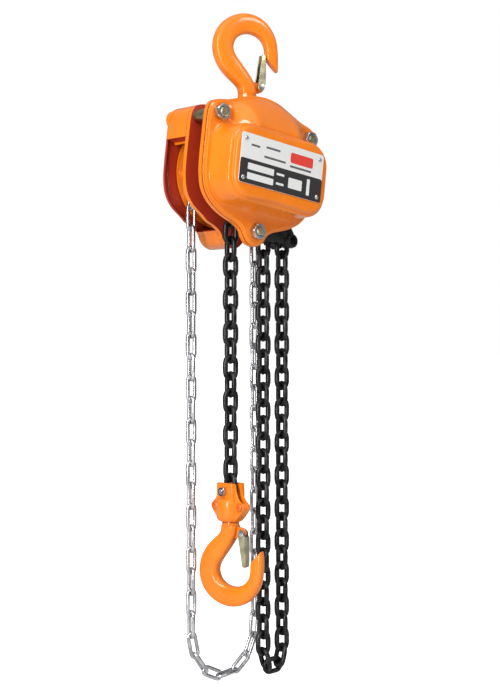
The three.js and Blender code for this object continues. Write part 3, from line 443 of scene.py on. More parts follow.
# ---- Stay bolts and their nuts -------------------------------------------------------
# Three yellow-passivated bolts clamp plates and covers together. Each carries a bright
# zinc hexagon nut at both ends; the stud stands a thread or two proud of the nut.
def metal(name, dark, light, rough, grain=300, stretch=(1, 1, 1), bump_depth=0.0002, metallic=1.0, slot=None):
    """Plated or bare metal with fine tooling marks and patchy sheen."""
    material = bpy.data.materials.new(name)
    material["slot"] = slot or name
    material.use_nodes = True
    tree = material.node_tree
    shader = tree.nodes["Principled BSDF"]
    place = tree.nodes.new("ShaderNodeTexCoord")
    turn = tree.nodes.new("ShaderNodeMapping")
    turn.inputs["Scale"].default_value = stretch
    patch = tree.nodes.new("ShaderNodeTexNoise")
    patch.inputs["Scale"].default_value = 90
    patch.inputs["Detail"].default_value = 5
    marks = tree.nodes.new("ShaderNodeTexNoise")
    marks.inputs["Scale"].default_value = grain
    marks.inputs["Detail"].default_value = 3
    tone = tree.nodes.new("ShaderNodeValToRGB")
    tone.color_ramp.elements[0].position = 0.35
    tone.color_ramp.elements[0].color = (*dark, 1)
    tone.color_ramp.elements[1].position = 0.65
    tone.color_ramp.elements[1].color = (*light, 1)
    sheen = tree.nodes.new("ShaderNodeMapRange")
    sheen.inputs["To Min"].default_value = rough - 0.08
    sheen.inputs["To Max"].default_value = rough + 0.12
    bump = tree.nodes.new("ShaderNodeBump")
    bump.inputs["Strength"].default_value = 0.25
    bump.inputs["Distance"].default_value = bump_depth
    tree.links.new(place.outputs["Object"], turn.inputs["Vector"])
    tree.links.new(turn.outputs["Vector"], marks.inputs["Vector"])
    tree.links.new(place.outputs["Object"], patch.inputs["Vector"])
    tree.links.new(patch.outputs["Fac"], tone.inputs["Fac"])
    tree.links.new(tone.outputs["Color"], shader.inputs["Base Color"])
    tree.links.new(patch.outputs["Fac"], sheen.inputs["Value"])
    tree.links.new(sheen.outputs["Result"], shader.inputs["Roughness"])
    tree.links.new(marks.outputs["Fac"], bump.inputs["Height"])
    tree.links.new(bump.outputs["Normal"], shader.inputs["Normal"])
    shader.inputs["Metallic"].default_value = metallic
    return material


zinc = metal("zinc", (0.42, 0.42, 0.44), (0.70, 0.70, 0.72), 0.24)
yellow_zinc = metal("yellow_zinc", (0.30, 0.26, 0.15), (0.58, 0.55, 0.40), 0.32)


def turned(profile, steps=48):
    """Spins a closed profile of (radius, y) about the Y axis."""
    bm = bmesh.new()
    edges = ring(bm, [(r, y, 0) for r, y in profile])
    bmesh.ops.spin(bm, geom=list(bm.verts) + edges, cent=(0, 0, 0), axis=(0, 1, 0), dvec=(0, 0, 0),
                   angle=2 * math.pi, steps=steps, use_merge=True, use_duplicate=False)
    bmesh.ops.remove_doubles(bm, verts=bm.verts, dist=0.001)
    return bm


def moved(bm, x=0, y=0, z=0, turn=None):
    if turn is not None:
        bmesh.ops.transform(bm, matrix=turn, verts=bm.verts)
    bmesh.ops.translate(bm, vec=(x, y, z), verts=bm.verts)
    return bm


def hex_nut(across, bore, height, turn_deg=0):
    """A hexagon nut on the Y axis, from 0 to -height, chamfered at its outer end."""
    bm = bmesh.new()
    flats = []
    for k in range(48):
        angle = math.radians(k * 7.5 + turn_deg)
        reach = across / 2 / math.cos((math.radians(k * 7.5) + math.pi / 6) % (math.pi / 3) - math.pi / 6)
        flats.append((angle, reach))

    def loop(shrink_to, y):
        return ring(bm, [(min(r, shrink_to) * math.cos(a), y, min(r, shrink_to) * math.sin(a))
                         for a, r in flats])

    skin(bm, [loop(across / 2 * 1.05, 0), loop(across, -0.5), loop(across, -height + 1.1),
              loop(across / 2 * 1.06, -height + 0.3), loop(across / 2 * 0.96, -height),
              loop(bore + 0.9, -height), loop(bore + 0.1, -height + 0.8), loop(bore + 0.1, -0.4),
              loop(bore + 0.6, 0)], closed=True)
    return bm


def threaded(radius, y0, y1, pitch=1.5):
    """A threaded bar end, cut as close rings."""
    bm = bmesh.new()
    profile = [(0.01, y0)]
    count = max(2, int(abs(y1 - y0) / pitch))
    direction = 1 if y1 > y0 else -1
    for k in range(count):
        y = y0 + direction * pitch * k
        profile += [(radius, y + direction * 0.2), (radius, y + direction * 0.5),
                    (radius - 0.75, y + direction * (pitch - 0.1))]
    profile += [(radius - 0.9, y1), (0.01, y1)]
    bm.free()
    return turned(profile, 32)


for name, (x, z) in STAY_PLACES.items():
    radius = 4.5 if name == "bottom" else 5
    seat = 54.4 if name == "bottom" else 49.4
    shoulder = radius + (0 if name == "bottom" else 2)
    shaft = turned([(0.01, -22), (radius - 0.1, -22), (radius - 0.1, -13.2), (shoulder, -13), (shoulder, 13),
                    (radius - 0.1, 13.2), (radius - 0.1, seat), (0.01, seat)])
    round_over(shaft, 0.3)
    fit(moved(shaft, x, 0, z), f"stay_{name}", ON_BODY, yellow_zinc, "hoist_body", [f"stay_bolt_{name}"])
    for end, y0, y1 in (("front", -20, -31.6), ("back", seat - 1, seat + 4.8)):
        fit(moved(threaded(radius, y0, y1), x, 0, z), f"stay_thread_{end}_{name}", ON_BODY, yellow_zinc,
            "hoist_body", sharp=20)
    turn = {"left": 12, "right": 41, "bottom": 27}[name]
    fit(moved(hex_nut(16, radius, 6.9, turn), x, -22.9, z), f"front_nut_{name}", ON_BODY, zinc, "hoist_body",
        [f"stay_nut_front_{name}"], sharp=20)
    back = hex_nut(16, radius, 4, turn)
    bmesh.ops.transform(back, matrix=Matrix.Rotation(math.pi, 4, "Z"), verts=back.verts)
    fit(moved(back, x, seat + 0.1, z), f"back_nut_{name}", ON_BODY, zinc, "hoist_body",
        [f"stay_nut_back_{name}"], sharp=20)


# ---- Nameplate -----------------------------------------------------------------------
# A thin printed plate riveted to the bulge: white above, black below, with blank fields
# and plain bars where a maker would print its words, and an empty red badge.
PLATE_FACE = -56.2


def printed(name, colour, rough=0.42, metallic=0.0, dirt=0.06, slot="label"):
    """Screen-printed ink on brushed sheet, a little uneven."""
    material = bpy.data.materials.new(name)
    material["slot"] = slot
    material.use_nodes = True
    tree = material.node_tree
    shader = tree.nodes["Principled BSDF"]
    place = tree.nodes.new("ShaderNodeTexCoord")
    speck = tree.nodes.new("ShaderNodeTexNoise")
    speck.inputs["Scale"].default_value = 700
    tone = tree.nodes.new("ShaderNodeValToRGB")
    tone.color_ramp.elements[0].position = 0.3
    tone.color_ramp.elements[0].color = (*[c * (1 - dirt) for c in colour], 1)
    tone.color_ramp.elements[1].position = 0.7
    tone.color_ramp.elements[1].color = (*colour, 1)
    bump = tree.nodes.new("ShaderNodeBump")
    bump.inputs["Strength"].default_value = 0.1
    bump.inputs["Distance"].default_value = 0.00005
    tree.links.new(place.outputs["Object"], speck.inputs["Vector"])
    tree.links.new(speck.outputs["Fac"], tone.inputs["Fac"])
    tree.links.new(tone.outputs["Color"], shader.inputs["Base Color"])
    tree.links.new(speck.outputs["Fac"], bump.inputs["Height"])
    tree.links.new(bump.outputs["Normal"], shader.inputs["Normal"])
    shader.inputs["Roughness"].default_value = rough
    shader.inputs["Metallic"].default_value = metallic
    return material


label = printed("label", (0.80, 0.80, 0.78), 0.35, 0.15)
black_ink = printed("label_black", (0.022, 0.02, 0.022), 0.4)
red_ink = printed("label_red", (0.70, 0.045, 0.03), 0.4)
grey_ink = printed("label_grey", (0.10, 0.10, 0.11), 0.45)
PLATE_X0, PLATE_X1, PLATE_Z0, PLATE_Z1 = -61.5, 57.5, -27, 25
BAND_Z = -1.5

base = plate(rounded_box(PLATE_X0, PLATE_X1, PLATE_Z0, PLATE_Z1, 3.2, 6), PLATE_FACE - 0.85, PLATE_FACE)
round_over(base, 0.15, 1)
fit(base, "nameplate_sheet", ON_BODY, label, "hoist_body", ["nameplate"])


def print_patch(name, x0, x1, z0, z1, corner, ink, layer=1):
    """A patch of ink a few hundredths of a millimetre proud of the sheet."""
    patch = plate(rounded_box(x0, x1, z0, z1, corner, 4), PLATE_FACE - 0.85 - 0.06 * layer, PLATE_FACE - 0.8)
    fit(patch, name, ON_BODY, ink, "hoist_body")


print_patch("print_black_band", PLATE_X0 + 0.15, PLATE_X1 - 0.15, PLATE_Z0 + 0.15, BAND_Z, 2.6, black_ink)
print_patch("print_field_upper", -50.5, -13.5, -12.2, -5.4, 0.8, label, 2)
print_patch("print_field_lower", -50.5, -13.5, -22.2, -15.4, 0.8, label, 2)
print_patch("print_bar_upper", -9.5, 1.5, -10, -7.6, 0.5, label, 2)
print_patch("print_bar_lower", -9.5, 1.5, -20, -17.6, 0.5, label, 2)
print_patch("print_block", 8, 28, -20, -9, 1.2, label, 2)
print_patch("print_column", 35, 39.5, -22.5, -5, 0.8, label, 2)
print_patch("badge", 8.5, 42, 7, 18, 2.2, red_ink)
for row, (z, x0, x1) in enumerate(((15.4, -27, -7), (5.2, -29, 2), (3.2, 8.5, 40), (13.6, -48, -36))):
    print_patch(f"print_line_{row}", x0, x1, z - 1.1, z + 1.1, 0.5, grey_ink)
for side, x in (("left", PLATE_X0 + 6), ("right", PLATE_X1 - 6)):
    for level, z, ink in (("upper", PLATE_Z1 - 6, zinc), ("lower", PLATE_Z0 + 5.5, zinc)):
        rivet = turned([(0.01, -0.2), (2.5, -0.2), (2.5, 0.1), (2.1, 0.65), (1.3, 1.0), (0.01, 1.1)], 24)
        bmesh.ops.transform(rivet, matrix=Matrix.Rotation(math.pi, 4, "Z"), verts=rivet.verts)
        fit(moved(rivet, x, PLATE_FACE - 0.85, z), f"rivet_{level}_{side}", ON_BODY, ink, "hoist_body")


# ---- Wheel cover ---------------------------------------------------------------------
# A pressed shell over the hand wheel. Its wall runs over the top and round the bottom
# lobe; the sides are open for the hand chain, with the cut edge folded in as a guide.
COVER_BACK = 54.4
OPEN_TOP, OPEN_BOTTOM = 25, -66
wheel_reach = polar(body_outline(WHEEL_SIDE_HALF_WIDTH))
shell = bmesh.new()
shell_loops = [
    cover_loop(shell, wheel_reach, inset, y)
    for inset, y in ((0, 18.8), (0, 30), (0, 42), (0, 48.4), (0.6, 51.2), (2.2, 53.2), (4.6, 54.2),
                     (7.5, COVER_BACK), (14, COVER_BACK), (17, 53.2), (20, 52.9), (34, 52.9))]
skin(shell, shell_loops, capped=False)
bmesh.ops.holes_fill(shell, edges=shell_loops[-1], sides=0)
for z in (OPEN_TOP, OPEN_BOTTOM):
    bmesh.ops.bisect_plane(shell, geom=list(shell.verts) + list(shell.edges) + list(shell.faces),
                           plane_co=(0, 0, z), plane_no=(0, 0, 1))
gone = [f for f in shell.faces if f.calc_center_median().y < 50
        and OPEN_BOTTOM < f.calc_center_median().z < OPEN_TOP]
bmesh.ops.delete(shell, geom=gone, context="FACES")
rim = [e for e in shell.edges if len(e.link_faces) == 1
       and all(abs(v.co.z - OPEN_TOP) < 0.05 and 18 < v.co.y < 49 for v in e.verts)]
for inward, down in ((2.5, -0.4), (7, -1.4), (1.5, -2.2)):
    grown = bmesh.ops.extrude_edge_only(shell, edges=rim)["geom"]
    rim = [e for e in grown if isinstance(e, bmesh.types.BMEdge)]
    for vert in {v for e in rim for v in e.verts}:
        vert.co.x -= math.copysign(inward, vert.co.x)
        vert.co.z += down
bmesh.ops.recalc_face_normals(shell, faces=shell.faces)
bmesh.ops.solidify(shell, geom=shell.faces, thickness=2.0)
TOP_STAYS = {name: STAY_PLACES[name] for name in ("left", "right")}
shell = boolean(shell, [rod(9.9, (x, 50, z), (x, 60, z), 48) for x, z in TOP_STAYS.values()])


def gets_painted_shade(face):
    """Whether a face of the shell looks into the wheel's space and so takes the painted shade."""
    outward = face.normal.x * face.center.x + face.normal.z * (face.center.z - SHEAVE_HEIGHT)
    return face.normal.y < -0.5 or (abs(face.normal.y) < 0.5 and outward < 0)


# Faces that look into the wheel's space take the dark red-brown painted shade.
fit(shell, "wheel_cover_shell", ON_BODY, orange_paint, "hoist_body", ["wheel_cover"], sharp=50, painted_shade_faces=gets_painted_shade)
for name, (x, z) in TOP_STAYS.items():
    cup = boolean(rod(10.3, (x, 47.3, z), (x, 53.1, z), 48), [
        rod(9.5, (x, 49.4, z), (x, 60, z), 48), rod(5.3, (x, 40, z), (x, 60, z), 32)])
    round_over(cup, 0.25, 2, 40)
    fit(cup, f"nut_cup_{name}", ON_BODY, orange_paint, "hoist_body")


# ---- Hooks ---------------------------------------------------------------------------
# Drop-forged hooks, painted orange. The section is deep at the crown and fines down to
# the beak; a round shank turns in the block above or the yoke below.
BOWL_U, BOWL_V, BOWL_R = 1.9, 48.7, 17
HOOK_STRETCH = 1.1
LATCH_PIVOT = (15.4, 8.8)
LATCH_TIP = (18.4, 44.4)
hook_stations = [
    ((9.4, -0.1), (-9.4, -0.1), 18), ((9.4, 4), (-9.4, 4), 18), ((7.2, 13.5), (-11, 8.4), 17.6),
    ((-0.8, 25.6), (-17.5, 13.6), 17.2), ((-8.6, 36), (-27.6, 22.4), 17), ((-13.4, 42.6), (-34.6, 34), 17),
]
for degrees, outer in ((180, 40), (157, 40.6), (135, 41), (112, 40.5), (90, 39.8), (67, 37.5), (45, 34.4),
                       (22, 32.2), (0, 31)):
    c, s = math.cos(math.radians(degrees)), math.sin(math.radians(degrees))
    hook_stations.append(((BOWL_U + BOWL_R * c, BOWL_V + BOWL_R * s),
                          (BOWL_U + outer * c, BOWL_V + outer * s), 12.4 + 4.6 * degrees / 180))
hook_stations += [((18.4, 45.4), (33.4, 42), 12), ((18.7, 43.4), (33.4, 36), 11.6), ((19.0, 41.9), (33.3, 30.4), 11),
                  ((19.3, 40.9), (33.2, 27), 10.8), ((19.8, 40.2), (32.9, 25.8), 10)]


def hook_forging(shift):
    """The bare forging: rings from the neck round the bowl to the beak."""
    bm = bmesh.new()
    loops = []
    for inner, outer, thick in hook_stations:
        middle = ((inner[0] + outer[0]) / 2, (inner[1] + outer[1]) / 2)
        lean = shift * min(max((middle[1] - 4) / 36, 0), 1)
        points = []
        for k in range(16):
            angle = 2 * math.pi * k / 16
            c, s = math.cos(angle), math.sin(angle)
            across = math.copysign(abs(c) ** 0.62, c)
            deep = math.copysign(abs(s) ** 0.62, s)
            points.append((middle[0] * HOOK_STRETCH + lean + across * (inner[0] - outer[0]) / 2,
                           deep * thick / 2,
                           middle[1] + across * (inner[1] - outer[1]) / 2))
        loops.append(ring(bm, points))
    skin(bm, loops, capped=False)
    for loop in (loops[0], loops[-1]):
        cap = bmesh.ops.holes_fill(bm, edges=loop, sides=0)["faces"]
        bmesh.ops.inset_region(bm, faces=cap, thickness=1.2, depth=0.25, use_even_offset=True)
    return bm


def hook_lug():
    lug = plate([(4, 0.8), (13.6, 2.4), (16.6, 3.4), (18.6, 6), (19, 9), (17.4, 11.8), (14, 13), (5, 14.4)], -2, 2)
    lug = boolean(lug, [rod(2.2, (LATCH_PIVOT[0], -6, LATCH_PIVOT[1]), (LATCH_PIVOT[0], 6, LATCH_PIVOT[1]), 20)])
    round_over(lug, 0.5)
    return lug


def latch_sheet():
    """One folded sheet: a web outside, a cheek each side, ears round the pin."""
    bm = bmesh.new()
    rows = []
    length = LATCH_TIP[1] - LATCH_PIVOT[1]
    for w, near, far, half in ((-4.2, -2.2, 2.2, 5.4), (-2.8, -3.6, 3.4, 5.4), (0, -4.2, 4.1, 5.4), (3, -4.2, 4.3, 5.4),
                               (6, -3.9, 4.2, 5.4), (12, -3.6, 3.9, 5.3), (20, -3.1, 3.5, 5.1), (28, -2.7, 3.0, 4.9),
                               (length - 1.6, -2.2, 2.3, 4.6), (length, -1.7, 1.8, 4.2)):
        u = LATCH_PIVOT[0] + (LATCH_TIP[0] - LATCH_PIVOT[0]) * w / length
        v = LATCH_PIVOT[1] + w
        rows.append([bm.verts.new(p) for p in (
            (u + near, -half, v), (u + far - 1.0, -half, v), (u + far, -half + 1.0, v),
            (u + far, half - 1.0, v), (u + far - 1.0, half, v), (u + near, half, v))])
    for level, (a, b) in enumerate(zip(rows, rows[1:])):
        for k in range(5):
            if level < 3 and k in (1, 2, 3):
                continue
            bm.faces.new((a[k], a[k + 1], b[k + 1], b[k]))
    bmesh.ops.recalc_face_normals(bm, faces=bm.faces)
    bmesh.ops.solidify(bm, geom=bm.faces, thickness=1.3)
    round_over(bm, 0.25, 1, 50)
    return bm


def latch_wire():
    """A torsion spring of two turns round the pin, one leg up the latch, one on the lug."""
    bm = bmesh.new()
    loops = []
    path = [(LATCH_PIVOT[0] + 1.6, 2.6, LATCH_PIVOT[1] + 15), (LATCH_PIVOT[0] + 2.6, 2.6, LATCH_PIVOT[1] + 6)]
    for step in range(29):
        angle = step * 2 * math.pi * 2.2 / 28
        path.append((LATCH_PIVOT[0] + 3.1 * math.cos(angle), 2.6 + 1.5 * step / 28,
                     LATCH_PIVOT[1] + 3.1 * math.sin(angle)))
    path.append((LATCH_PIVOT[0] - 5, 4.1, LATCH_PIVOT[1] + 3))
    for k, point in enumerate(path):
        ahead = Vector(path[min(k + 1, len(path) - 1)]) - Vector(path[max(k - 1, 0)])
        turn = ahead.to_track_quat("Z", "Y").to_matrix()
        loops.append(ring(bm, [Vector(point) + turn @ Vector((0.45 * math.cos(a), 0.45 * math.sin(a), 0))
                               for a in (math.pi * n / 3 for n in range(6))]))
    skin(bm, loops)
    return bm


bare_steel = metal("bare_steel", (0.20, 0.21, 0.22), (0.42, 0.43, 0.45), 0.36, 500)


def hang_hook(prefix, height, across, yaw, flip, shank, shift, body):
    place = ON_HOIST @ Matrix.Translation((across, 0, height)) @ Matrix.Rotation(math.radians(yaw), 4, "Z")
    if flip:
        place = place @ Matrix.Rotation(math.pi, 4, "X")
    forging = fit(hook_forging(shift), f"{prefix}_hook_forging", place, orange_paint, body,
                  [f"{prefix}_hook"], sharp=70)
    soften = forging.modifiers.new("soften", "SUBSURF")
    soften.levels = soften.render_levels = 2
    bar = rod(8, (0, 0, -shank), (0, 0, 1), 40)
    round_over(bar, 1)
    fit(bar, f"{prefix}_hook_shank", place, bare_steel, body)
    if flip:
        neck = rod(9.2, (0, 0, -2.9), (0, 0, 1.5), 40)
        round_over(neck, 0.6)
        fit(neck, f"{prefix}_hook_neck", place, orange_paint, body)
    fit(hook_lug(), f"{prefix}_hook_lug", place, orange_paint, body)
    fit(latch_sheet(), f"{prefix}_latch_sheet", place, yellow_zinc, f"{prefix}_latch_body", [f"{prefix}_latch"])
    fit(latch_wire(), f"{prefix}_latch_wire", place, bare_steel, f"{prefix}_latch_body",
        [f"{prefix}_latch_spring"])
    pin = turned([(0.01, -6.3), (1.2, -6.3), (2.9, -6.1), (3.0, -5.8), (1.95, -5.6), (1.95, 5.6), (3.0, 5.8),
                  (2.9, 6.1), (1.2, 6.3), (0.01, 6.3)], 24)
    fit(moved(pin, LATCH_PIVOT[0], 0, LATCH_PIVOT[1]), f"{prefix}_latch_rivet", place, zinc, body,
        [f"{prefix}_latch_pin"])


hang_hook("top", 83.5, 0, -18, False, 43, 0, "top_hook_body")
hang_hook("bottom", -376.7, -23.75, -70, True, 22.5, 3.4, "bottom_hook_body")


# ---- Chains --------------------------------------------------------------------------
# Round-wire links, each threaded through the next at a right angle. The load chain is
# blackened steel; the hand chain is bright, thinner wire on a longer pitch.
def link_shape(pitch, wire, outer, weld=1.0):
    """One welded link lying in XZ with its length along Z."""
    bm = bmesh.new()
    bend = (outer - wire) / 2
    straight = pitch + wire - 2 * bend
    path = []
    for end in (1, -1):
        for step in range(7):
            angle = math.pi * step / 6 + (0 if end > 0 else math.pi)
            path.append((bend * math.cos(angle), end * straight / 2 + bend * math.sin(angle), angle, 1.0))
        if end > 0:
            path.append((-bend, 0, math.pi, weld))
    path.append((bend, 0, 0, 1.0))
    loops = []
    for x, z, angle, swell in path:
        out = Vector((math.cos(angle), 0, math.sin(angle)))
        loops.append(ring(bm, [Vector((x, 0, z)) + out * (wire / 2 * swell * math.cos(a))
                               + Vector((0, wire / 2 * swell * math.sin(a), 0))
                               for a in (2 * math.pi * n / 10 for n in range(10))]))
    skin(bm, loops, closed=True)
    bmesh.ops.recalc_face_normals(bm, faces=bm.faces)
    return bm


def walk(points, pitch):
    """Joints a pitch apart, straight across, along a finely split path."""
    joints = [Vector(points[0])]
    previous = Vector(points[0])
    for point in points[1:]:
        here = Vector(point)
        while (here - joints[-1]).length >= pitch:
            before = (previous - joints[-1]).length
            after = (here - joints[-1]).length
            joints.append(previous.lerp(here, (pitch - before) / max(after - before, 1e-6)))
            previous = joints[-1]
        previous = here
    return joints


def hang_to_fit(route, pitch, bend_z):
    """Raises or drops the loop a little, so that an even number of links ends just where it is held."""
    for attempt in range(16):
        points = route(bend_z)
        joints = walk(points, pitch)
        spare = (Vector(points[-1]) - joints[-1]).length
        if len(joints) % 2 == 0 if attempt == 0 else spare > pitch / 2:
            spare -= pitch
        bend_z += spare / 2
    joints = walk(route(bend_z - 0.01), pitch)
    joints[-1] = Vector(points[-1])
    return joints


def straight_run(x0, z0, x1, z1, gap=0.5):
    count = max(1, int(math.hypot(x1 - x0, z1 - z0) / gap))
    return [(x0 + (x1 - x0) * k / count, 0, z0 + (z1 - z0) * k / count) for k in range(count)]


def bend_run(middle, z, radius, drop, gap=0.5):
    count = int(math.pi * radius / gap)
    return [(middle - radius * math.cos(math.pi * k / count), 0,
             z - (radius + drop) * math.sin(math.pi * k / count)) for k in range(count)]


def wheel_run(radius, gap=0.4):
    count = int(math.pi * radius / gap)
    return [(-radius * math.cos(math.pi * k / count), 0, radius * math.sin(math.pi * k / count))
            for k in range(count)]


FACING = math.radians(-8)


def turned_by(z, top, bottom):
    """Each fall hangs with a slight twist, taken up in three links at its held ends."""
    down = min(max((top - z) / 54, 0), 1)
    up = min(max((z - bottom) / 54, 0), 1)
    return FACING * down * up


def lay_links(name, joints, first, shape, plane_y, material, body, stands_for, twist_from=-8, twist_to=-1000):
    """Copies the link between each pair of joints, turning every other one on edge."""
    chain = bmesh.new()
    for k, (a, b) in enumerate(zip(joints, joints[1:])):
        along = (b - a).normalized()
        side = Matrix.Rotation(turned_by((a.z + b.z) / 2, twist_from, twist_to), 3, "Z") @ Vector((0, 1, 0))
        side = (side - along * side.dot(along)).normalized()
        if (k + first) % 2 == 0:
            across, through = side, side.cross(along)
        else:
            across, through = side.cross(along), -side
        turn = Matrix((across, -through, along)).transposed().to_4x4()
        copy = shape.copy()
        bmesh.ops.transform(copy, matrix=Matrix.Translation((a + b) / 2 + Vector((0, plane_y, 0))) @ turn,
                            verts=copy.verts)
        held = bpy.data.meshes.new("link")
        copy.to_mesh(held)
        copy.free()
        chain.from_mesh(held)
        bpy.data.meshes.remove(held)
    return fit(chain, name, ON_HOIST, material, body, stands_for, sharp=80)


black_steel = metal("black_steel", (0.012, 0.012, 0.013), (0.045, 0.045, 0.048), 0.30, 260, metallic=0.75)
LOAD_PITCH = 18
LOAD_R = 23.75
LAST_LINK_END = -344.6
ANCHOR_END = (52, -68)


LIFT = 36
LOOP_Z = -516


def load_path(bend_z):
    return (straight_run(-LOAD_R, LAST_LINK_END, -LOAD_R, 0) + wheel_run(LOAD_R)
            + straight_run(LOAD_R, 0, LOAD_R, bend_z)
            + bend_run((LOAD_R + ANCHOR_END[0]) / 2, bend_z, (ANCHOR_END[0] - LOAD_R) / 2, 3)
            + straight_run(ANCHOR_END[0], bend_z, *ANCHOR_END) + [(ANCHOR_END[0], 0, ANCHOR_END[1])])


load_joints = hang_to_fit(load_path, LOAD_PITCH, LOOP_Z)
load_link = link_shape(LOAD_PITCH, 5.6, 18.9, 1.06)
hung = sum(1 for joint in load_joints[:30] if joint.x < 1 - LOAD_R and joint.z < -LIFT)
over = next(k for k, joint in enumerate(load_joints) if k > hung + 4 and joint.z < 0)
lay_links("load_chain_lifting_fall", load_joints[:hung], 0, load_link, 0, black_steel, "lifting_chain",
          ["load_chain_hook_side"], twist_to=-336)
lay_links("load_chain_on_sheave", load_joints[hung - 1:over + 1], hung - 1, load_link, 0, black_steel,
          "hoist_body", ["load_chain_over_sheave"])
lay_links("load_chain_slack_links", load_joints[over:], over, load_link, 0, black_steel, "hoist_body",
          ["load_chain_slack_loop"], twist_to=-575)

HAND_PITCH = 23
HAND_R = 46.4
HAND_Y = 38
HAND_LOOP_Z = -500


def hand_path(bend_z):
    under = [(-x, y, z) for x, y, z in bend_run(0, bend_z, HAND_R, 6)]
    return (straight_run(-HAND_R, -14, -HAND_R, 0) + wheel_run(HAND_R) + straight_run(HAND_R, 0, HAND_R, bend_z)
            + under + straight_run(-HAND_R, bend_z, -HAND_R, -14) + [(-HAND_R, 0, -14)])


hand_joints = hang_to_fit(hand_path, HAND_PITCH, HAND_LOOP_Z)
hand_link = link_shape(HAND_PITCH, 4.2, 12.8, 1.08)
off_wheel = next(k for k, joint in enumerate(hand_joints) if k > 3 and joint.z < 0)
lay_links("hand_chain_on_wheel", hand_joints[:off_wheel + 1], 1, hand_link, HAND_Y, zinc, "hoist_body",
          ["hand_chain_over_wheel"])
lay_links("hand_chain_links", hand_joints[off_wheel:], 1 + off_wheel, hand_link, HAND_Y, zinc, "hoist_body",
          ["hand_chain_loop"], twist_to=-600)


# ---- Load sheave and rollers ---------------------------------------------------------
# A hardened casting with four pockets: flat links lie in the pockets while the links
# between them stand in the middle groove. Rollers beside it keep the chain in place.
FLAT_LINK_ANGLE = math.radians(59.5)
sheave = turned([(6.6, -18.6), (12.9, -18.6), (12.9, -13.1), (29, -13.1), (31, -12.2), (31, -4.4), (28, -3.8),
                 (14.5, -3.6), (14.5, 3.6), (28, 3.8), (31, 4.4), (31, 12.2), (29, 13.1), (12.9, 13.1),
                 (12.9, 18.3), (6.6, 18.3)], 64)
pockets = []
for quarter in range(4):
    angle = FLAT_LINK_ANGLE + quarter * math.pi / 2
    pocket = block((-13.4, -10.7, 18.2), (13.4, 10.7, 40))
    round_over(pocket, 3, 3)
    pockets.append(moved(pocket, turn=Matrix.Rotation(angle - math.pi / 2, 4, "Y")))
sheave = boolean(sheave, pockets)
fit(sheave, "pocket_sheave", ON_HOIST, bare_steel, "sheave", ["load_sheave"])


# ---- Hand wheel ----------------------------------------------------------------------
# A pressed orange wheel with a deep rim; six pairs of lugs in the rim catch the links.
# It screws on to the drive shaft and squeezes the brake's friction discs as it turns.
wheel = turned([(6.4, 26.8), (15, 26.8), (17, 32), (34, 33.2), (37, 31), (38.5, 27.4), (56.5, 26.9),
                (58, 27.4), (58, 28.2), (44, 30.2), (40, 33), (39.4, 38), (40, 43), (44, 45.8), (58, 47.8),
                (58, 48.6), (56.5, 49.1), (38.5, 48.6), (37, 45), (34, 42.8), (17, 44), (15, 46), (6.4, 46)], 72)
fit(wheel, "hand_wheel_rim", ON_HOIST, orange_paint, "drive", ["hand_wheel"], sharp=60)
lugs = bmesh.new()
for k in range(12):
    angle = math.radians(12.4 + 15 + 30 * k)
    for side in (-1, 1):
        lug = block((-3.2, -1.6, 41), (3.2, 1.6, 54))
        round_over(lug, 1.2, 2)
        bmesh.ops.translate(lug, vec=(0, 38 + side * (7.6 if k % 2 else 5.6), 0), verts=lug.verts)
        bmesh.ops.transform(lug, matrix=Matrix.Rotation(-math.pi / 2 + angle, 4, "Y"), verts=lug.verts)
        held = bpy.data.meshes.new("lug")
        lug.to_mesh(held)
        lug.free()
        lugs.from_mesh(held)
        bpy.data.meshes.remove(held)
fit(lugs, "hand_wheel_lugs", ON_HOIST, orange_paint, "drive")


# ---- Bottom yoke ---------------------------------------------------------------------
# Two cast halves, painted orange, close left and right round the hook's nut. The pin of
# the last link runs through both, and a screw in each side ear clamps them together.
PIN_Z = -341
EAR_BOLT = (19.5, PIN_Z - 16)


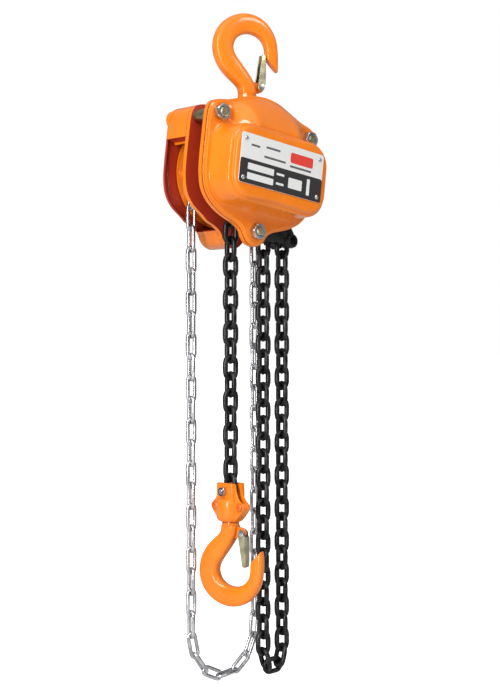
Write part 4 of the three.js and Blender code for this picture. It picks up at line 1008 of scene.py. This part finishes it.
def yoke_half(side):
    """One half of the casting; side is -1 for the left half and 1 for the right."""
    ears = plate(smooth_curve([(-12.6, -332), (0, -331.8), (12.6, -332), (13.4, -338), (15.4, -345), (19.5, -350.6),
                               (24.3, -354.4), (25, -357), (23.6, -361), (19, -366.4), (13, -371.6), (10.5, -372.2),
                               (0, -372.3), (-10.5, -372.2), (-13, -371.6), (-19, -366.4), (-23.6, -361), (-25, -357),
                               (-24.3, -354.4), (-19.5, -350.6), (-15.4, -345), (-13.4, -338)], 2), -6, 6)
    round_over(ears, 1.2, 2, 50)
    bmesh.ops.transform(ears, matrix=Matrix.Rotation(math.pi / 2, 4, "Z"), verts=ears.verts)
    head = bmesh.new()
    skin(head, [ring(head, [(x, y, z) for x, y in rounded_box(-half_x, half_x, -half_y, half_y, corner, 4)])
                for z, half_x, half_y, corner in (
                    (-332, 8.6, 11.8, 1.4), (-332.8, 9.4, 12.6, 1.8), (-346, 9.6, 12.9, 1.8), (-350, 9.8, 13, 3),
                    (-354, 9, 12.4, 4))])
    barrel = bmesh.new()
    turns = [math.pi * n / 24 for n in range(48)]
    skin(barrel, [ring(barrel, [(r * math.cos(a), r * math.sin(a), z) for a in turns])
                  for r, z in ((9, -347.5), (11.5, -348.2), (14, -350), (15.4, -353.4), (15.5, -357), (15.5, -366),
                               (15.0, -369.5), (13.4, -371.8), (12.6, -372.4), (11.6, -373))])
    half = boolean(head, [ears, barrel], "UNION")
    cut_x = (-0.1, 60) if side < 0 else (-60, 0.1)
    tools = [block((-3.6, -30, -352.5), (3.6, 30, -320)), rod(10, (0, -30, -324), (0, 30, -324), 48),
             rod(12, (0, 0, -366), (0, 0, -352), 40),
             rod(8.4, (0, 0, -380), (0, 0, -360), 40), rod(3.7, (-30, 0, PIN_Z), (30, 0, PIN_Z), 24),
             block((cut_x[0], -60, -400), (cut_x[1], 60, -300))]
    for y in (-EAR_BOLT[0], EAR_BOLT[0]):
        tools.append(rod(3.1, (-30, y, EAR_BOLT[1]), (30, y, EAR_BOLT[1]), 24))
        tools.append(rod(4.8, (side * 30, y, EAR_BOLT[1]), (side * 3.6, y, EAR_BOLT[1]), 32))
    half = boolean(half, tools)
    round_over(half, 0.5, 2, 40)
    return half


AT_YOKE = ON_HOIST @ Matrix.Translation((-23.75, 0, 0))
fit(yoke_half(-1), "yoke_half_left", AT_YOKE, orange_paint, "yoke", ["yoke_left"])
fit(yoke_half(1), "yoke_half_right", AT_YOKE, orange_paint, "yoke", ["yoke_right"])


def along_x(bm, outward, x, y, z):
    """Turns a fitting made on -Y to point out along X, and puts it in place."""
    turn = Matrix.Rotation(-math.pi / 2 if outward < 0 else math.pi / 2, 4, "Z")
    bmesh.ops.transform(bm, matrix=turn, verts=bm.verts)
    return moved(bm, x, y, z)


pin = turned([(0.01, -15.2), (2.3, -15.2), (2.3, -14.2), (3.2, -14.2), (3.6, -13.8), (3.6, 9.9), (5.4, 9.9), (5.6, 10.3),
              (5.6, 11.4), (4.6, 12.2), (0.01, 12.2)], 32)
fit(along_x(pin, -1, 0, 0, PIN_Z), "link_pin", AT_YOKE, zinc, "yoke", ["chain_pin"], sharp=30)
fit(along_x(hex_nut(9, 3.6, 4.4, 15), -1, -9.7, 0, PIN_Z), "link_pin_nut", AT_YOKE, zinc, "yoke", sharp=20)
sprayed_over = enamel("zinc_sprayed", (0.60, 0.105, 0.008), (0.72, 0.15, 0.012), 0.3, "zinc")
for name, y in (("front", -EAR_BOLT[0]), ("back", EAR_BOLT[0])):
    screw = turned([(0.01, -6), (1.6, -6), (1.7, -6.9), (3.6, -6.9), (4.4, -6.3), (4.4, -3.7), (3, -3.7), (3, 5.6),
                    (0.01, 5.6)], 32)
    fit(along_x(screw, -1, 0, y, EAR_BOLT[1]), f"yoke_screw_{name}", AT_YOKE, sprayed_over, "yoke",
        [f"yoke_bolt_{name}"], sharp=30)


# ---- Chain anchor --------------------------------------------------------------------
# A black fabricated bracket between the plates: it guides the slack fall and holds the
# chain's dead end on a pin. The stripper under the sheave is made of the same stock.
cheek_outline = [(14.5, -46), (46, -46), (57, -62), (60, -69), (60, -75), (56, -79.6), (49, -79.8), (44, -75), (36, -74),
                 (14.5, -74)]
anchor = boolean(plate(cheek_outline, -13.2, -10.8), [
    plate(cheek_outline, 10.8, 13.2), block((36, -12, -76), (39.5, 12, -48)),
    rod(7.4, (52, -17.6, -72), (52, -4, -72), 40), rod(7.4, (52, 4, -72), (52, 14, -72), 40),
    rod(3, (42, -18.2, -50), (42, -12, -50), 24), rod(3, (42, 12, -50), (42, 18.2, -50), 24)], "UNION")
anchor = boolean(anchor, [rod(3.5, (52, -20, -71.4), (52, 16, -71.4), 24),
                          rod(4.7, (52, -20, -72), (52, -14.8, -72), 32)])
round_over(anchor, 0.5, 2, 40)
fit(anchor, "anchor_bracket", ON_HOIST, black_steel, "hoist_body", ["chain_anchor"])
pin = rod(3.4, (52, -14, -71.4), (52, 14.6, -71.4), 32)
round_over(pin, 0.5)
fit(pin, "anchor_pin_bright", ON_HOIST, black_steel, "hoist_body", ["anchor_pin"])


# ---- Carried-over pieces -------------------------------------------------------------
# Shafts, gears, brake parts, bearings and small fittings keep the shapes they were
# machined to in the solid model, and get their real metals and linings.
lining = printed("friction_lining", (0.13, 0.10, 0.075), 0.8, 0.0, 0.3, "friction_lining")
carried = {
    "suspension_block": orange_paint, "top_hook_nut": bare_steel, "bottom_hook_nut": bare_steel,
    "chain_stripper": black_steel, "guide_roller_left": bare_steel, "guide_roller_right": bare_steel,
    "roller_pin_left": bare_steel, "roller_pin_right": bare_steel, "sheave_bearing_gear_side": bare_steel,
    "sheave_bearing_wheel_side": bare_steel, "load_gear": bare_steel, "disc_gear_left": bare_steel,
    "disc_gear_right": bare_steel, "drive_shaft": bare_steel, "friction_hub": bare_steel,
    "friction_disc_inner": lining, "friction_disc_outer": lining, "ratchet_wheel": bare_steel,
    "pawl_upper": bare_steel, "pawl_lower": bare_steel, "pawl_spring_upper": bare_steel,
    "pawl_spring_lower": bare_steel, "hand_wheel_nut": zinc,
}
for node, material in carried.items():
    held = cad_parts[node].data
    held.materials.clear()
    held.materials.append(material)
